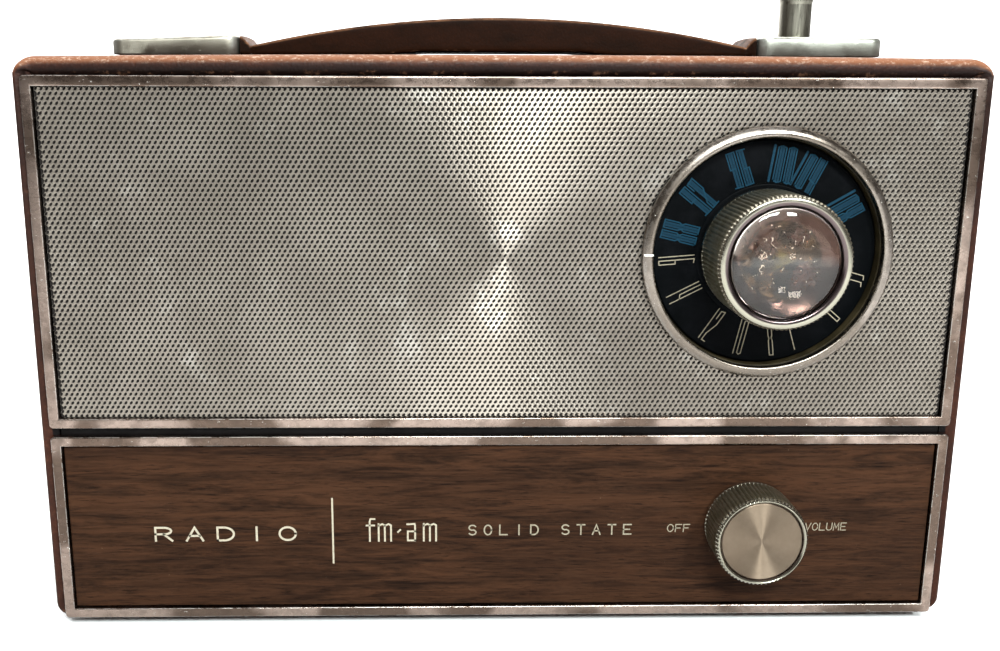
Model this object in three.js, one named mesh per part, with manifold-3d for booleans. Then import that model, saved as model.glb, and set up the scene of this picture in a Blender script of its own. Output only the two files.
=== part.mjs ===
// Portable transistor radio of the late 1960s, drawn in millimetres.
// +Z is up, -Y is the front, and the origin is under the middle of the radio, on the surface it stands on.
import * as THREE from "three";
import { mergeVertices } from "three/addons/utils/BufferGeometryUtils.js";
import Module from "manifold-3d";

const wasm = await Module();
wasm.setup();

// ---- Driving dimensions -------------------------------------------------------------------------------
// Depths are measured backwards from the front face of the two trim frames.
const GAP = 0.3; // clearance between pieces that meet
const OVERRUN = 1; // cutting tools run this far past the faces they cut
const STANDARD_SIDES = 5; // facets to a rounded corner
const CASE_WIDTH = 254;
const CASE_FRONT = 2; // the frames stand this far proud of the case's front edge
const CASE_BACK = 72;
const CASE_SIDE_WALL = 4;
const CASE_CORNER_RADIUS = 5;
const CASE_EDGE_ROUNDING = 2.6;
const FOOT_HEIGHT = 2.5;
const FOOT_RADIUS = 7;
const FOOT_INSET = 22;

const FRAME_WIDTH = 250;
const FRAME_BAR = 2.8; // face width of the aluminium trim
const FRAME_FLANGE_DEPTH = 1.7;
const FRAME_LEG_DEPTH = 5;
const FRAME_LEG_INSET = 2.3;
const FRAME_EDGE_BEVEL = 0.4;
const UPPER_FRAME_HEIGHT = 94.3;
const LOWER_FRAME_HEIGHT = 54.2;
const FRAME_SPACING = 2.4; // dark gap between the two frames
const BOTTOM_LIP = 0.8; // case showing below the lower frame
const TOP_LIP = 5.5; // case showing above the upper frame

const GRILLE_FRONT = 1.2;
const GRILLE_THICKNESS = 0.8;
const GRILLE_SIDE_GAP = 1;
const PANEL_FRONT = 1.2;
const BAFFLE_FRONT = 5.3;
const BAFFLE_THICKNESS = 2.5;

const TUNING_X = 70.2;
const TUNING_BELOW_FRAME_TOP = 46;
const BEZEL_RADIUS = 33.75;
const BEZEL_PROUD = 2;
const BEZEL_CLEARANCE = 0.7; // ring of shadow between the bezel and the grille
const DISC_FRONT = 2.7;
const DISC_RADIUS = 30.2;
const DISC_THICKNESS = 1.2;
const TUNING_KNOB_RADIUS = 17.46;
const TUNING_KNOB_PROUD = 17.7;
const LENS_PROUD = 0.9; // how far the lens crowns past the knob's rim

const VOLUME_X = 70.4;
const VOLUME_BELOW_FRAME_TOP = 123.2;
const VOLUME_KNOB_RADIUS = 12.8;
const VOLUME_KNOB_PROUD = 13.7;
const SHAFT_RADIUS = 3;
const SHAFT_HOLE_RADIUS = 4; // clearance hole in panel and baffle

const HANDLE_DEPTH = 36; // centre line of handle and aerial
const HANDLE_WIDTH = 23;
const STRAP_HALF_LENGTH = 68.6;
const STRAP_RISE = 10.9;
const STRAP_END_RISE = 3.1;
const PLATE_INNER = 71.8;
const PLATE_OUTER = 106.6;
const PLATE_DEPTH = 26;
const PLATE_HEIGHT = 5.2;
const PLATE_INNER_HEIGHT = 6;
const PLATE_CORNER_RADIUS = 4;
const TAB_DEPTH = 7; // how far the strap's end goes into its plate
const TAB_LOW = 1; // heights of that end above the case
const TAB_HIGH = 3.2;
const TAB_SIDE_INSET = 1;

const AERIAL_X = 84.3;
const AERIAL_FOOT = 14; // height of the lower end of the aerial tube
const AERIAL_CAP_RADIUS = 4.2;
const AERIAL_CAP_HEIGHT = 10.8;
const AERIAL_STAGES = [
  { outer: 3.5, inner: 3.1 },
  { outer: 2.8, inner: 2.4 },
  { outer: 2.1, inner: 1.75 },
  { outer: 1.45, inner: 1.15 },
];
const AERIAL_ROD_RADIUS = 0.85;

const SPEAKER_X = -45;
const SPEAKER_RADIUS = 39;
const SPEAKER_STRETCH = 1.6; // an oval speaker, wider than it is high
const SPEAKER_RIM = 4; // the baffle's mouth is this much smaller than the speaker
const CELL_RADIUS = 13.1;
const CELL_LENGTH = 49.6;
const CELL_PITCH = 26.8;
const CELL_HEIGHT = 17.6; // axis of the lower row above the case floor
const CELL_DEPTH = 54;
const BAY_MARGIN = 2.2; // between cells and the outside of the tray
const BAY_WALL = 1.5;
const BAY_LEFT = -112;
const BAY_RIGHT = -5;
const BACK_THICKNESS = 2.5;
const DOOR_SWING_GAP = 0.5;
const BAND_TRAVEL = 5;
const BOARD_BEHIND_AERIAL = 5;
const BOARD_THICKNESS = 1.6;
const SCREW_PROUD = 1.8;

const ROUND = 40; // facets round a visible turned piece
const HIDDEN_ROUND = 20; // facets round a turned piece inside the case

// ---- Derived places -----------------------------------------------------------------------------------
const caseBottom = FOOT_HEIGHT;
const lowerFrameBottom = caseBottom + BOTTOM_LIP;
const lowerFrameTop = lowerFrameBottom + LOWER_FRAME_HEIGHT;
const upperFrameBottom = lowerFrameTop + FRAME_SPACING;
const upperFrameTop = upperFrameBottom + UPPER_FRAME_HEIGHT;
const caseTop = upperFrameTop + TOP_LIP;
const innerHalfWidth = CASE_WIDTH / 2 - CASE_SIDE_WALL;
const innerBottom = lowerFrameBottom + FRAME_LEG_INSET - GAP;
const innerTop = upperFrameTop - FRAME_LEG_INSET + GAP;
const baffleBack = BAFFLE_FRONT + BAFFLE_THICKNESS;
const coverFront = CASE_BACK - BACK_THICKNESS;
const tuningZ = upperFrameTop - TUNING_BELOW_FRAME_TOP;
const volumeZ = upperFrameTop - VOLUME_BELOW_FRAME_TOP;
const boardFront = HANDLE_DEPTH + BOARD_BEHIND_AERIAL;
const boardBack = boardFront + BOARD_THICKNESS;
const plateTop = caseTop + PLATE_HEIGHT;
const aerialTop = plateTop + GAP;
const boreRadius = SHAFT_RADIUS + GAP;
const bezelSkirtOuter = BEZEL_RADIUS - 0.9;
const bezelSkirtGap = 0.15;
const cellRowZ = [innerBottom + CELL_HEIGHT, innerBottom + CELL_HEIGHT + CELL_PITCH];
const screwHeadBack = CASE_BACK + SCREW_PROUD;
const middleDepth = (screwHeadBack - TUNING_KNOB_PROUD - LENS_PROUD) / 2;

// ---- Materials ----------------------------------------------------------------------------------------
function finish(color, roughness, metalness = 0, extra = {}) {
  return new THREE.MeshStandardMaterial({ color, roughness, metalness, ...extra });
}
const leatherette = () => finish(0x6b3a22, 0.6);
const leather = () => finish(0x4a2416, 0.55);
const agedAluminium = () => finish(0xb5a9a6, 0.35, 1);
const brushedAluminium = () => finish(0xa8a09a, 0.32, 1);
const dieCast = () => finish(0xa9aaa2, 0.4, 1);
const chrome = () => finish(0xd0d0cc, 0.12, 1);
const walnut = () => finish(0x4a3325, 0.45);
const blackPlastic = () => finish(0x15161a, 0.5);
const clearPlastic = () => finish(0xe8e4dc, 0.05, 0, { transparent: true, opacity: 0.35 });
const steel = () => finish(0x8f8f8c, 0.35, 1);
const greyPlastic = () => finish(0x3a3a3a, 0.6);
const paper = () => finish(0x2b2724, 0.9);
const ferrite = () => finish(0x2e2a29, 0.6);
const copper = () => finish(0xa55f33, 0.4, 1);
const phenolic = () => finish(0x8a5a2b, 0.6);
const cellJacket = () => finish(0x2f5d8a, 0.4);
const rubber = () => finish(0x1c1b1a, 0.9);

// ---- Geometry helpers ---------------------------------------------------------------------------------
const radio = new THREE.Group();
radio.position.y = -middleDepth;

function add(name, geometry, material) {
  const mesh = new THREE.Mesh(geometry, material);
  mesh.name = name;
  radio.add(mesh);
  return mesh;
}

function pointsOnly(geometry) {
  const bare = geometry.clone();
  for (const attribute of ["normal", "uv"]) bare.deleteAttribute(attribute);
  return mergeVertices(bare, 1e-3);
}

function signedVolume(geometry) {
  const g = pointsOnly(geometry);
  const p = g.getAttribute("position");
  const corner = [0, 1, 2].map(() => new THREE.Vector3());
  let six = 0;
  for (let i = 0; i < g.index.count; i += 3) {
    corner.forEach((v, k) => v.fromBufferAttribute(p, g.index.getX(i + k)));
    six += corner[0].dot(corner[1].clone().cross(corner[2]));
  }
  return six / 6;
}

// Turns every face over when a profile was drawn the other way round.
function facingOut(geometry) {
  const g = pointsOnly(geometry);
  if (signedVolume(g) < 0) {
    const a = g.index.array;
    for (let i = 0; i < a.length; i += 3) [a[i + 1], a[i + 2]] = [a[i + 2], a[i + 1]];
  }
  g.computeVertexNormals();
  return g;
}

function solid(geometry) {
  const g = facingOut(geometry);
  const vertProperties = new Float32Array(g.getAttribute("position").array);
  return new wasm.Manifold(
    new wasm.Mesh({ numProp: 3, vertProperties, triVerts: new Uint32Array(g.index.array) }),
  );
}

function fromSolid(made) {
  const mesh = made.getMesh();
  const g = new THREE.BufferGeometry();
  g.setAttribute("position", new THREE.BufferAttribute(mesh.vertProperties, 3));
  g.setIndex(new THREE.BufferAttribute(mesh.triVerts, 1));
  g.computeVertexNormals();
  return g;
}

function join(first, ...others) {
  return fromSolid(others.reduce((sum, other) => sum.add(solid(other)), solid(first)));
}

function cut(first, ...tools) {
  return fromSolid(tools.reduce((rest, tool) => rest.subtract(solid(tool)), solid(first)));
}

// A rectangle with rounded corners, in the plane of the front face: width is X and height is Z.
function roundedRect(left, bottom, right, top, radius, Kind = THREE.Shape) {
  const s = new Kind();
  s.moveTo(left + radius, bottom);
  s.lineTo(right - radius, bottom);
  s.absarc(right - radius, bottom + radius, radius, -Math.PI / 2, 0);
  s.lineTo(right, top - radius);
  s.absarc(right - radius, top - radius, radius, 0, Math.PI / 2);
  s.lineTo(left + radius, top);
  s.absarc(left + radius, top - radius, radius, Math.PI / 2, Math.PI);
  s.lineTo(left, bottom + radius);
  s.absarc(left + radius, bottom + radius, radius, Math.PI, 1.5 * Math.PI);
  return s;
}

function rectangle(left, bottom, right, top, Kind = THREE.Shape) {
  const corners = [
    [left, bottom],
    [right, bottom],
    [right, top],
    [left, top],
  ];
  return new Kind(corners.map(([x, z]) => new THREE.Vector2(x, z)));
}

function outline(points) {
  return new THREE.Shape(points.map(([x, y]) => new THREE.Vector2(x, y)));
}

function roundHole(x, z, radius) {
  const hole = new THREE.Path();
  hole.absarc(x, z, radius, 0, 2 * Math.PI);
  return hole;
}

// Extrudes a front-plane shape backwards, from depth front to depth back.
function extrudeBack(shape, front, back, options = {}) {
  const bevel = options.bevel ?? 0;
  return facingOut(
    new THREE.ExtrudeGeometry(shape, {
      depth: back - front - 2 * bevel,
      curveSegments: options.curveSegments ?? STANDARD_SIDES,
      bevelEnabled: bevel > 0,
      bevelThickness: bevel,
      bevelSize: bevel,
      bevelOffset: -bevel,
      bevelSegments: options.bevelSegments ?? 2,
    })
      .rotateX(Math.PI / 2)
      .translate(0, back - bevel, 0),
  );
}

// Extrudes a plan shape, drawn in X and Y, upwards from height low to height high.
function extrudeUp(shape, low, high, options = {}) {
  const bevel = options.bevel ?? 0;
  return facingOut(
    new THREE.ExtrudeGeometry(shape, {
      depth: high - low - 2 * bevel,
      curveSegments: options.curveSegments ?? STANDARD_SIDES,
      bevelEnabled: bevel > 0,
      bevelThickness: bevel,
      bevelSize: bevel,
      bevelOffset: -bevel,
      bevelSegments: 2,
    }).translate(0, 0, low + bevel),
  );
}

// Extrudes a section drawn in Y and Z to the right, from left to right.
function extrudeRight(shape, left, right) {
  return facingOut(
    new THREE.ExtrudeGeometry(shape, {
      depth: right - left,
      curveSegments: STANDARD_SIDES,
      bevelEnabled: false,
    })
      .rotateX(Math.PI / 2)
      .rotateZ(Math.PI / 2)
      .translate(left, 0, 0),
  );
}

// Turns a profile of [radius, depth] pairs about a front-to-back axis through x, z.
function turnedBack(profile, x, z, segments = ROUND) {
  const points = profile.map(([r, y]) => new THREE.Vector2(r, y));
  return facingOut(new THREE.LatheGeometry(points, segments).translate(x, 0, z));
}

// Turns a profile of [radius, height] pairs about a vertical axis through x, y.
function turnedUp(profile, x, y, segments = HIDDEN_ROUND) {
  const points = profile.map(([r, z]) => new THREE.Vector2(r, z));
  return facingOut(new THREE.LatheGeometry(points, segments).rotateX(Math.PI / 2).translate(x, y, 0));
}

// Turns a profile of [radius, x] pairs about a left-to-right axis through y, z.
function turnedRight(profile, y, z, segments = HIDDEN_ROUND) {
  const points = profile.map(([r, x]) => new THREE.Vector2(r, x));
  return facingOut(new THREE.LatheGeometry(points, segments).rotateZ(-Math.PI / 2).translate(0, y, z));
}

function block(x0, x1, y0, y1, z0, z1) {
  return new THREE.BoxGeometry(x1 - x0, y1 - y0, z1 - z0).translate(
    (x0 + x1) / 2,
    (y0 + y1) / 2,
    (z0 + z1) / 2,
  );
}

// A closed profile for a tube between two radii.
function tubeProfile(inner, outer, from, to) {
  return [
    [inner, from],
    [outer, from],
    [outer, to],
    [inner, to],
    [inner, from],
  ];
}

function rodProfile(radius, from, to) {
  return [
    [0, from],
    [radius, from],
    [radius, to],
    [0, to],
  ];
}

// ---- Case and front -----------------------------------------------------------------------------------
function caseShell() {
  const half = CASE_WIDTH / 2;
  const shape = roundedRect(-half, caseBottom, half, caseTop, CASE_CORNER_RADIUS);
  const body = extrudeBack(shape, CASE_FRONT, CASE_BACK, { bevel: CASE_EDGE_ROUNDING, bevelSegments: 3 });
  const hollow = block(
    -innerHalfWidth,
    innerHalfWidth,
    CASE_FRONT - OVERRUN,
    CASE_BACK + OVERRUN,
    innerBottom,
    innerTop,
  );
  const aerialHole = turnedUp(
    rodProfile(AERIAL_STAGES[0].outer + GAP, innerTop - OVERRUN, caseTop + OVERRUN),
    AERIAL_X,
    HANDLE_DEPTH,
  );
  return cut(body, hollow, aerialHole);
}

// An aluminium trim frame: a front flange that laps over its surround, and a thin leg behind it.
function trimFrame(bottom, top) {
  const half = FRAME_WIDTH / 2;
  const inset = FRAME_BAR;
  const flange = rectangle(-half, bottom, half, top);
  const leg = rectangle(
    -half + FRAME_LEG_INSET,
    bottom + FRAME_LEG_INSET,
    half - FRAME_LEG_INSET,
    top - FRAME_LEG_INSET,
  );
  const window = block(
    -half + inset,
    half - inset,
    -OVERRUN,
    FRAME_LEG_DEPTH + OVERRUN,
    bottom + inset,
    top - inset,
  );
  const plate = extrudeBack(flange, 0, FRAME_FLANGE_DEPTH, { bevel: FRAME_EDGE_BEVEL, bevelSegments: 1 });
  const skirt = extrudeBack(leg, FRAME_FLANGE_DEPTH / 2, FRAME_LEG_DEPTH);
  return cut(join(plate, skirt), window);
}

function speakerGrille() {
  const half = FRAME_WIDTH / 2 - FRAME_BAR - GRILLE_SIDE_GAP;
  const shape = rectangle(
    -half,
    upperFrameBottom + FRAME_BAR + GAP,
    half,
    upperFrameTop - FRAME_BAR - GAP,
  );
  shape.holes.push(roundHole(TUNING_X, tuningZ, BEZEL_RADIUS + BEZEL_CLEARANCE));
  return extrudeBack(shape, GRILLE_FRONT, GRILLE_FRONT + GRILLE_THICKNESS, { curveSegments: ROUND });
}

function woodPanel() {
  const half = FRAME_WIDTH / 2 - FRAME_BAR - GAP;
  const shape = rectangle(
    -half,
    lowerFrameBottom + FRAME_BAR + GAP,
    half,
    lowerFrameTop - FRAME_BAR - GAP,
  );
  shape.holes.push(roundHole(VOLUME_X, volumeZ, SHAFT_HOLE_RADIUS));
  return extrudeBack(shape, PANEL_FRONT, BAFFLE_FRONT - GAP, { curveSegments: HIDDEN_ROUND });
}

// The moulded inner front: it carries grille, panel, dial and speaker, and its rib fills the gap
// between the two trim frames.
function frontBaffle() {
  const half = innerHalfWidth - GAP;
  const shape = rectangle(-half, innerBottom + GAP, half, innerTop - GAP);
  shape.holes.push(roundHole(TUNING_X, tuningZ, bezelSkirtOuter + bezelSkirtGap));
  shape.holes.push(roundHole(VOLUME_X, volumeZ, SHAFT_HOLE_RADIUS));
  const mouth = new THREE.Path();
  const mouthRadius = SPEAKER_RADIUS - SPEAKER_RIM;
  mouth.absellipse(SPEAKER_X, tuningZ, mouthRadius * SPEAKER_STRETCH, mouthRadius, 0, 2 * Math.PI);
  shape.holes.push(mouth);
  const plate = extrudeBack(shape, BAFFLE_FRONT, baffleBack, { curveSegments: ROUND });
  const rib = block(
    -half + GAP,
    half - GAP,
    CASE_FRONT,
    BAFFLE_FRONT + OVERRUN,
    lowerFrameTop - FRAME_LEG_INSET + GAP,
    upperFrameBottom + FRAME_LEG_INSET - GAP,
  );
  return join(plate, rib);
}

// ---- Dial and tuning ----------------------------------------------------------------------------------
function dialHousing() {
  const wall = 1.2;
  const mouth = 0.6;
  const inner = DISC_RADIUS + 0.4;
  const floor = DISC_FRONT + DISC_THICKNESS + 1.1;
  const hub = SHAFT_RADIUS + wall;
  const profile = [
    [hub, floor],
    [inner, floor],
    [inner, mouth],
    [inner + wall, mouth],
    [inner + wall, floor + wall],
    [hub, floor + wall],
    [hub, floor],
  ];
  return turnedBack(profile, TUNING_X, tuningZ);
}

// The ring stands on a thin skirt that reaches back to the baffle.
function dialBezel() {
  const inner = DISC_RADIUS + 0.6;
  const skirtInner = DISC_RADIUS + 1.9;
  const ringBack = 0.3;
  const front = -BEZEL_PROUD;
  const profile = [
    [inner, ringBack],
    [inner, front + 0.9],
    [inner + 0.6, front],
    [BEZEL_RADIUS - 0.7, front + 0.4],
    [BEZEL_RADIUS, front + 1.3],
    [BEZEL_RADIUS, ringBack],
    [bezelSkirtOuter, ringBack],
    [bezelSkirtOuter, BAFFLE_FRONT - GAP],
    [skirtInner, BAFFLE_FRONT - GAP],
    [skirtInner, ringBack],
    [inner, ringBack],
  ];
  return turnedBack(profile, TUNING_X, tuningZ);
}

function dialDisc() {
  const profile = tubeProfile(boreRadius, DISC_RADIUS, DISC_FRONT, DISC_FRONT + DISC_THICKNESS);
  return turnedBack(profile, TUNING_X, tuningZ);
}

const emblemRadius = 14;
const emblemBack = -10.3;
const emblemFront = -12.4;
const knobFloorThickness = 2;

function tuningKnob() {
  const front = -TUNING_KNOB_PROUD;
  const base = DISC_FRONT - 0.5;
  const rimBevel = 0.9;
  const mouthBevel = 0.6;
  const wellRadius = emblemRadius + 0.4;
  const wellFloor = emblemBack + GAP;
  const profile = [
    [boreRadius, base],
    [TUNING_KNOB_RADIUS, base],
    [TUNING_KNOB_RADIUS, front + rimBevel],
    [TUNING_KNOB_RADIUS - rimBevel, front],
    [wellRadius + mouthBevel, front],
    [wellRadius, front + mouthBevel],
    [wellRadius, wellFloor],
    [0, wellFloor],
    [0, wellFloor + knobFloorThickness],
    [boreRadius, wellFloor + knobFloorThickness],
    [boreRadius, base],
  ];
  return turnedBack(profile, TUNING_X, tuningZ);
}

function tuningEmblem() {
  const profile = [
    [0, emblemBack],
    [emblemRadius, emblemBack],
    [emblemRadius, emblemFront + 0.8],
    [emblemRadius * 0.8, emblemFront],
    [0, emblemFront],
  ];
  return turnedBack(profile, TUNING_X, tuningZ);
}

function tuningLens() {
  const rim = -TUNING_KNOB_PROUD + 1.6;
  const crown = -TUNING_KNOB_PROUD - LENS_PROUD;
  const profile = [
    [0, emblemFront - GAP],
    [emblemRadius, emblemFront - GAP],
  ];
  const steps = 5;
  for (let i = 0; i <= steps; i++) {
    const angle = (i / steps) * (Math.PI / 2);
    profile.push([emblemRadius * Math.cos(angle), rim + (crown - rim) * Math.sin(angle)]);
  }
  profile[profile.length - 1][0] = 0;
  return turnedBack(profile, TUNING_X, tuningZ);
}

const capacitorFront = 24.3;
const capacitorBack = boardFront - GAP;
const shaftInset = 2; // a shaft ends this far short of the back of what it drives

function tuningShaft() {
  const front = -7.5;
  const profile = rodProfile(SHAFT_RADIUS, front, capacitorBack - shaftInset);
  return turnedBack(profile, TUNING_X, tuningZ, HIDDEN_ROUND);
}

function tuningCapacitor() {
  const half = 9.9;
  const shape = roundedRect(TUNING_X - half, tuningZ - half, TUNING_X + half, tuningZ + half, 1.5);
  shape.holes.push(roundHole(TUNING_X, tuningZ, boreRadius));
  return extrudeBack(shape, capacitorFront, capacitorBack);
}

// ---- Volume control -----------------------------------------------------------------------------------
const volumeWellRadius = VOLUME_KNOB_RADIUS - 1.6;

function volumeKnob() {
  const front = -VOLUME_KNOB_PROUD;
  const base = PANEL_FRONT - 0.6;
  const rimBevel = 0.7;
  const mouthBevel = 0.4;
  const wellFloor = front + 2.2;
  const profile = [
    [boreRadius, base],
    [VOLUME_KNOB_RADIUS, base],
    [VOLUME_KNOB_RADIUS, front + rimBevel],
    [VOLUME_KNOB_RADIUS - rimBevel, front],
    [volumeWellRadius + mouthBevel, front],
    [volumeWellRadius, front + mouthBevel],
    [volumeWellRadius, wellFloor],
    [0, wellFloor],
    [0, wellFloor + knobFloorThickness],
    [boreRadius, wellFloor + knobFloorThickness],
    [boreRadius, base],
  ];
  return turnedBack(profile, VOLUME_X, volumeZ);
}

function volumeKnobCap() {
  const front = -VOLUME_KNOB_PROUD + 0.7;
  const thickness = 1.2;
  return turnedBack(rodProfile(volumeWellRadius - GAP, front, front + thickness), VOLUME_X, volumeZ);
}

const potFront = baffleBack + GAP;
const potBack = potFront + 12;

function volumeShaft() {
  const front = -8.5;
  return turnedBack(rodProfile(SHAFT_RADIUS, front, potBack - shaftInset), VOLUME_X, volumeZ, HIDDEN_ROUND);
}

function volumeControl() {
  const [canRadius, coverRadius, canDepth] = [8.5, 7.5, 7];
  const profile = [
    [boreRadius, potFront],
    [canRadius, potFront],
    [canRadius, potFront + canDepth],
    [coverRadius, potFront + canDepth],
    [coverRadius, potBack],
    [boreRadius, potBack],
    [boreRadius, potFront],
  ];
  return turnedBack(profile, VOLUME_X, volumeZ, HIDDEN_ROUND);
}

// ---- Handle -------------------------------------------------------------------------------------------
const strapUnderside = caseTop + GAP;

function strapTop(x) {
  const share = x / STRAP_HALF_LENGTH;
  return caseTop + STRAP_RISE - (STRAP_RISE - STRAP_END_RISE) * share * share;
}

// The padded grip: flat underneath, arched on top.
function handleStrap() {
  const steps = 12;
  const points = [
    [-STRAP_HALF_LENGTH, strapUnderside],
    [STRAP_HALF_LENGTH, strapUnderside],
  ];
  for (let i = 0; i <= steps; i++) {
    const x = STRAP_HALF_LENGTH * (1 - (2 * i) / steps);
    points.push([x, strapTop(x)]);
  }
  const front = HANDLE_DEPTH - HANDLE_WIDTH / 2;
  const edge = 1.2;
  return extrudeBack(outline(points), front, front + HANDLE_WIDTH, { bevel: edge, bevelSegments: 1 });
}

// The strap's end, which stays in the mouth of its end plate. side is -1 on the left and 1 on the right.
function handleTab(side) {
  const start = STRAP_HALF_LENGTH + GAP;
  const mouth = PLATE_INNER - GAP;
  const tip = PLATE_INNER + TAB_DEPTH;
  const tongueBottom = caseTop + TAB_LOW;
  const tongueTop = caseTop + TAB_HIGH;
  const points = [
    [start, strapUnderside],
    [mouth, strapUnderside],
    [mouth, tongueBottom],
    [tip, tongueBottom],
    [tip, tongueTop],
    [mouth, tongueTop],
    [mouth, caseTop + PLATE_HEIGHT],
    [start, caseTop + STRAP_END_RISE],
  ];
  const half = HANDLE_WIDTH / 2 - TAB_SIDE_INSET;
  const placed = points.map(([x, z]) => [side * x, z]);
  return extrudeBack(outline(placed), HANDLE_DEPTH - half, HANDLE_DEPTH + half);
}

// A die-cast end plate, a little higher at its inner end, where the strap goes in.
function handlePlate(side) {
  const front = HANDLE_DEPTH - PLATE_DEPTH / 2;
  const back = HANDLE_DEPTH + PLATE_DEPTH / 2;
  const low = caseTop + GAP;
  const [left, right] = [side * PLATE_INNER, side * PLATE_OUTER].sort((a, b) => a - b);
  const plan = roundedRect(left, front, right, back, PLATE_CORNER_RADIUS);
  const body = extrudeUp(plan, low, caseTop + PLATE_HEIGHT, { bevel: 0.8, curveSegments: 4 });
  const position = body.getAttribute("position");
  for (let i = 0; i < position.count; i++) {
    const inward = (PLATE_OUTER - side * position.getX(i)) / (PLATE_OUTER - PLATE_INNER);
    const stretch = 1 + ((PLATE_INNER_HEIGHT - PLATE_HEIGHT) / PLATE_HEIGHT) * inward;
    position.setZ(i, low + (position.getZ(i) - low) * stretch);
  }
  const pocketEnd = PLATE_INNER + TAB_DEPTH + GAP;
  const [x0, x1] = [side * (PLATE_INNER - OVERRUN), side * pocketEnd].sort((a, b) => a - b);
  const pocketHalf = HANDLE_WIDTH / 2 - TAB_SIDE_INSET + GAP;
  const pocket = block(
    x0,
    x1,
    HANDLE_DEPTH - pocketHalf,
    HANDLE_DEPTH + pocketHalf,
    caseTop + TAB_LOW - GAP,
    caseTop + TAB_HIGH + GAP,
  );
  const hole = turnedUp(
    rodProfile(AERIAL_STAGES[0].outer + GAP, low - OVERRUN, caseTop + PLATE_INNER_HEIGHT + OVERRUN),
    AERIAL_X,
    HANDLE_DEPTH,
  );
  return side > 0 ? cut(body, pocket, hole) : cut(body, pocket);
}

// ---- Aerial -------------------------------------------------------------------------------------------
function aerialStage(index) {
  const { outer, inner } = AERIAL_STAGES[index];
  const profile = tubeProfile(inner, outer, AERIAL_FOOT + index, aerialTop);
  return turnedUp(profile, AERIAL_X, HANDLE_DEPTH);
}

function aerialRod() {
  const foot = AERIAL_FOOT + AERIAL_STAGES.length;
  const sides = 12;
  return turnedUp(rodProfile(AERIAL_ROD_RADIUS, foot, aerialTop + 0.2), AERIAL_X, HANDLE_DEPTH, sides);
}

function aerialCap() {
  const low = aerialTop + 0.6;
  const high = low + AERIAL_CAP_HEIGHT;
  const lip = 1.2;
  const profile = [
    [0, low],
    [AERIAL_CAP_RADIUS, low],
    [AERIAL_CAP_RADIUS + 0.2, high - lip],
    [AERIAL_CAP_RADIUS - 0.5, high],
    [0, high],
  ];
  return turnedUp(profile, AERIAL_X, HANDLE_DEPTH, 24);
}

function aerialBracket() {
  const hold = 6;
  const [low, high] = [AERIAL_FOOT + 8, AERIAL_FOOT + 12];
  const shape = rectangle(
    AERIAL_X - hold,
    HANDLE_DEPTH - hold,
    innerHalfWidth - GAP,
    HANDLE_DEPTH + hold,
  );
  shape.holes.push(roundHole(AERIAL_X, HANDLE_DEPTH, AERIAL_STAGES[0].outer + GAP));
  return extrudeUp(shape, low, high, { curveSegments: 12 });
}

// ---- Loudspeaker --------------------------------------------------------------------------------------
const speakerFront = baffleBack + GAP;
const speakerDepth = 25;

function oval(profile) {
  const g = turnedBack(profile, 0, 0, 36);
  return g.scale(SPEAKER_STRETCH, 1, 1).translate(SPEAKER_X, 0, tuningZ);
}

function speakerBasket() {
  const back = speakerFront + speakerDepth;
  const [sheet, rimDepth, potRadius] = [1.2, 1.5, 16];
  const profile = [
    [0, back],
    [potRadius, back],
    [SPEAKER_RADIUS - 2.5, speakerFront + rimDepth],
    [SPEAKER_RADIUS, speakerFront + rimDepth],
    [SPEAKER_RADIUS, speakerFront],
    [SPEAKER_RADIUS - 3.4, speakerFront],
    [potRadius - 1, back - sheet],
    [0, back - sheet],
  ];
  return oval(profile);
}

function speakerCone() {
  const rim = SPEAKER_RADIUS - 4.2;
  const front = speakerFront + GAP;
  const throat = speakerFront + 15;
  const [paperThickness, surround, surroundDepth] = [0.6, 3, 1.5];
  const [domeRadius, throatRadius] = [7, 9];
  const profile = [
    [0, throat - 4],
    [domeRadius, throat - 2],
    [throatRadius, throat],
    [rim - surround, front + surroundDepth],
    [rim, front],
    [rim, front + paperThickness],
    [rim - surround, front + surroundDepth + paperThickness],
    [throatRadius, throat + 1],
    [0, throat + 1],
  ];
  return oval(profile);
}

function speakerMagnet() {
  const front = speakerFront + speakerDepth + GAP;
  const [neckRadius, neckDepth, radius, depth, edge] = [17, 2, 20, 12.5, 1.5];
  const profile = [
    [0, front],
    [neckRadius, front],
    [neckRadius, front + neckDepth],
    [radius, front + neckDepth + 0.5],
    [radius, front + depth - edge],
    [radius - edge, front + depth],
    [0, front + depth],
  ];
  return turnedBack(profile, SPEAKER_X, tuningZ, 28);
}

// ---- Electronics --------------------------------------------------------------------------------------
function circuitBoard() {
  const [left, right] = [6, 118];
  const [low, high] = [innerBottom + 61, innerTop - 2];
  return block(left, right, boardFront, boardBack, low, high);
}

function ifTransformer(x) {
  const half = 5;
  const height = 13;
  const z = tuningZ + 20;
  const can = roundedRect(x - half, z - half, x + half, z + half, 1);
  const options = { bevel: 0.5, bevelSegments: 1, curveSegments: 2 };
  return extrudeBack(can, boardBack + GAP, boardBack + height, options);
}

function audioTransformer() {
  const front = boardBack + GAP;
  const [x, z] = [103, innerBottom + 77];
  const core = block(x - 10, x + 10, front + 3, front + 12, z - 8, z + 8);
  const winding = extrudeBack(
    roundedRect(x - 7, z - 11, x + 7, z + 11, 2),
    front,
    front + 15,
    { curveSegments: 3 },
  );
  return join(core, winding);
}

function electrolytic() {
  const front = boardBack + GAP;
  const [x, z] = [78, innerBottom + 76];
  const [radius, grooveRadius, length] = [5, 4.6, 18];
  const profile = [
    [0, front],
    [grooveRadius, front],
    [radius, front + 0.6],
    [radius, front + 2.4],
    [grooveRadius, front + 3],
    [radius, front + 3.6],
    [radius, front + length - 0.5],
    [grooveRadius, front + length],
    [0, front + length],
  ];
  return turnedBack(profile, x, z, HIDDEN_ROUND);
}

const ferriteDepth = 60;
const ferriteZ = innerTop - 8;
const ferriteRadius = 5;

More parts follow.
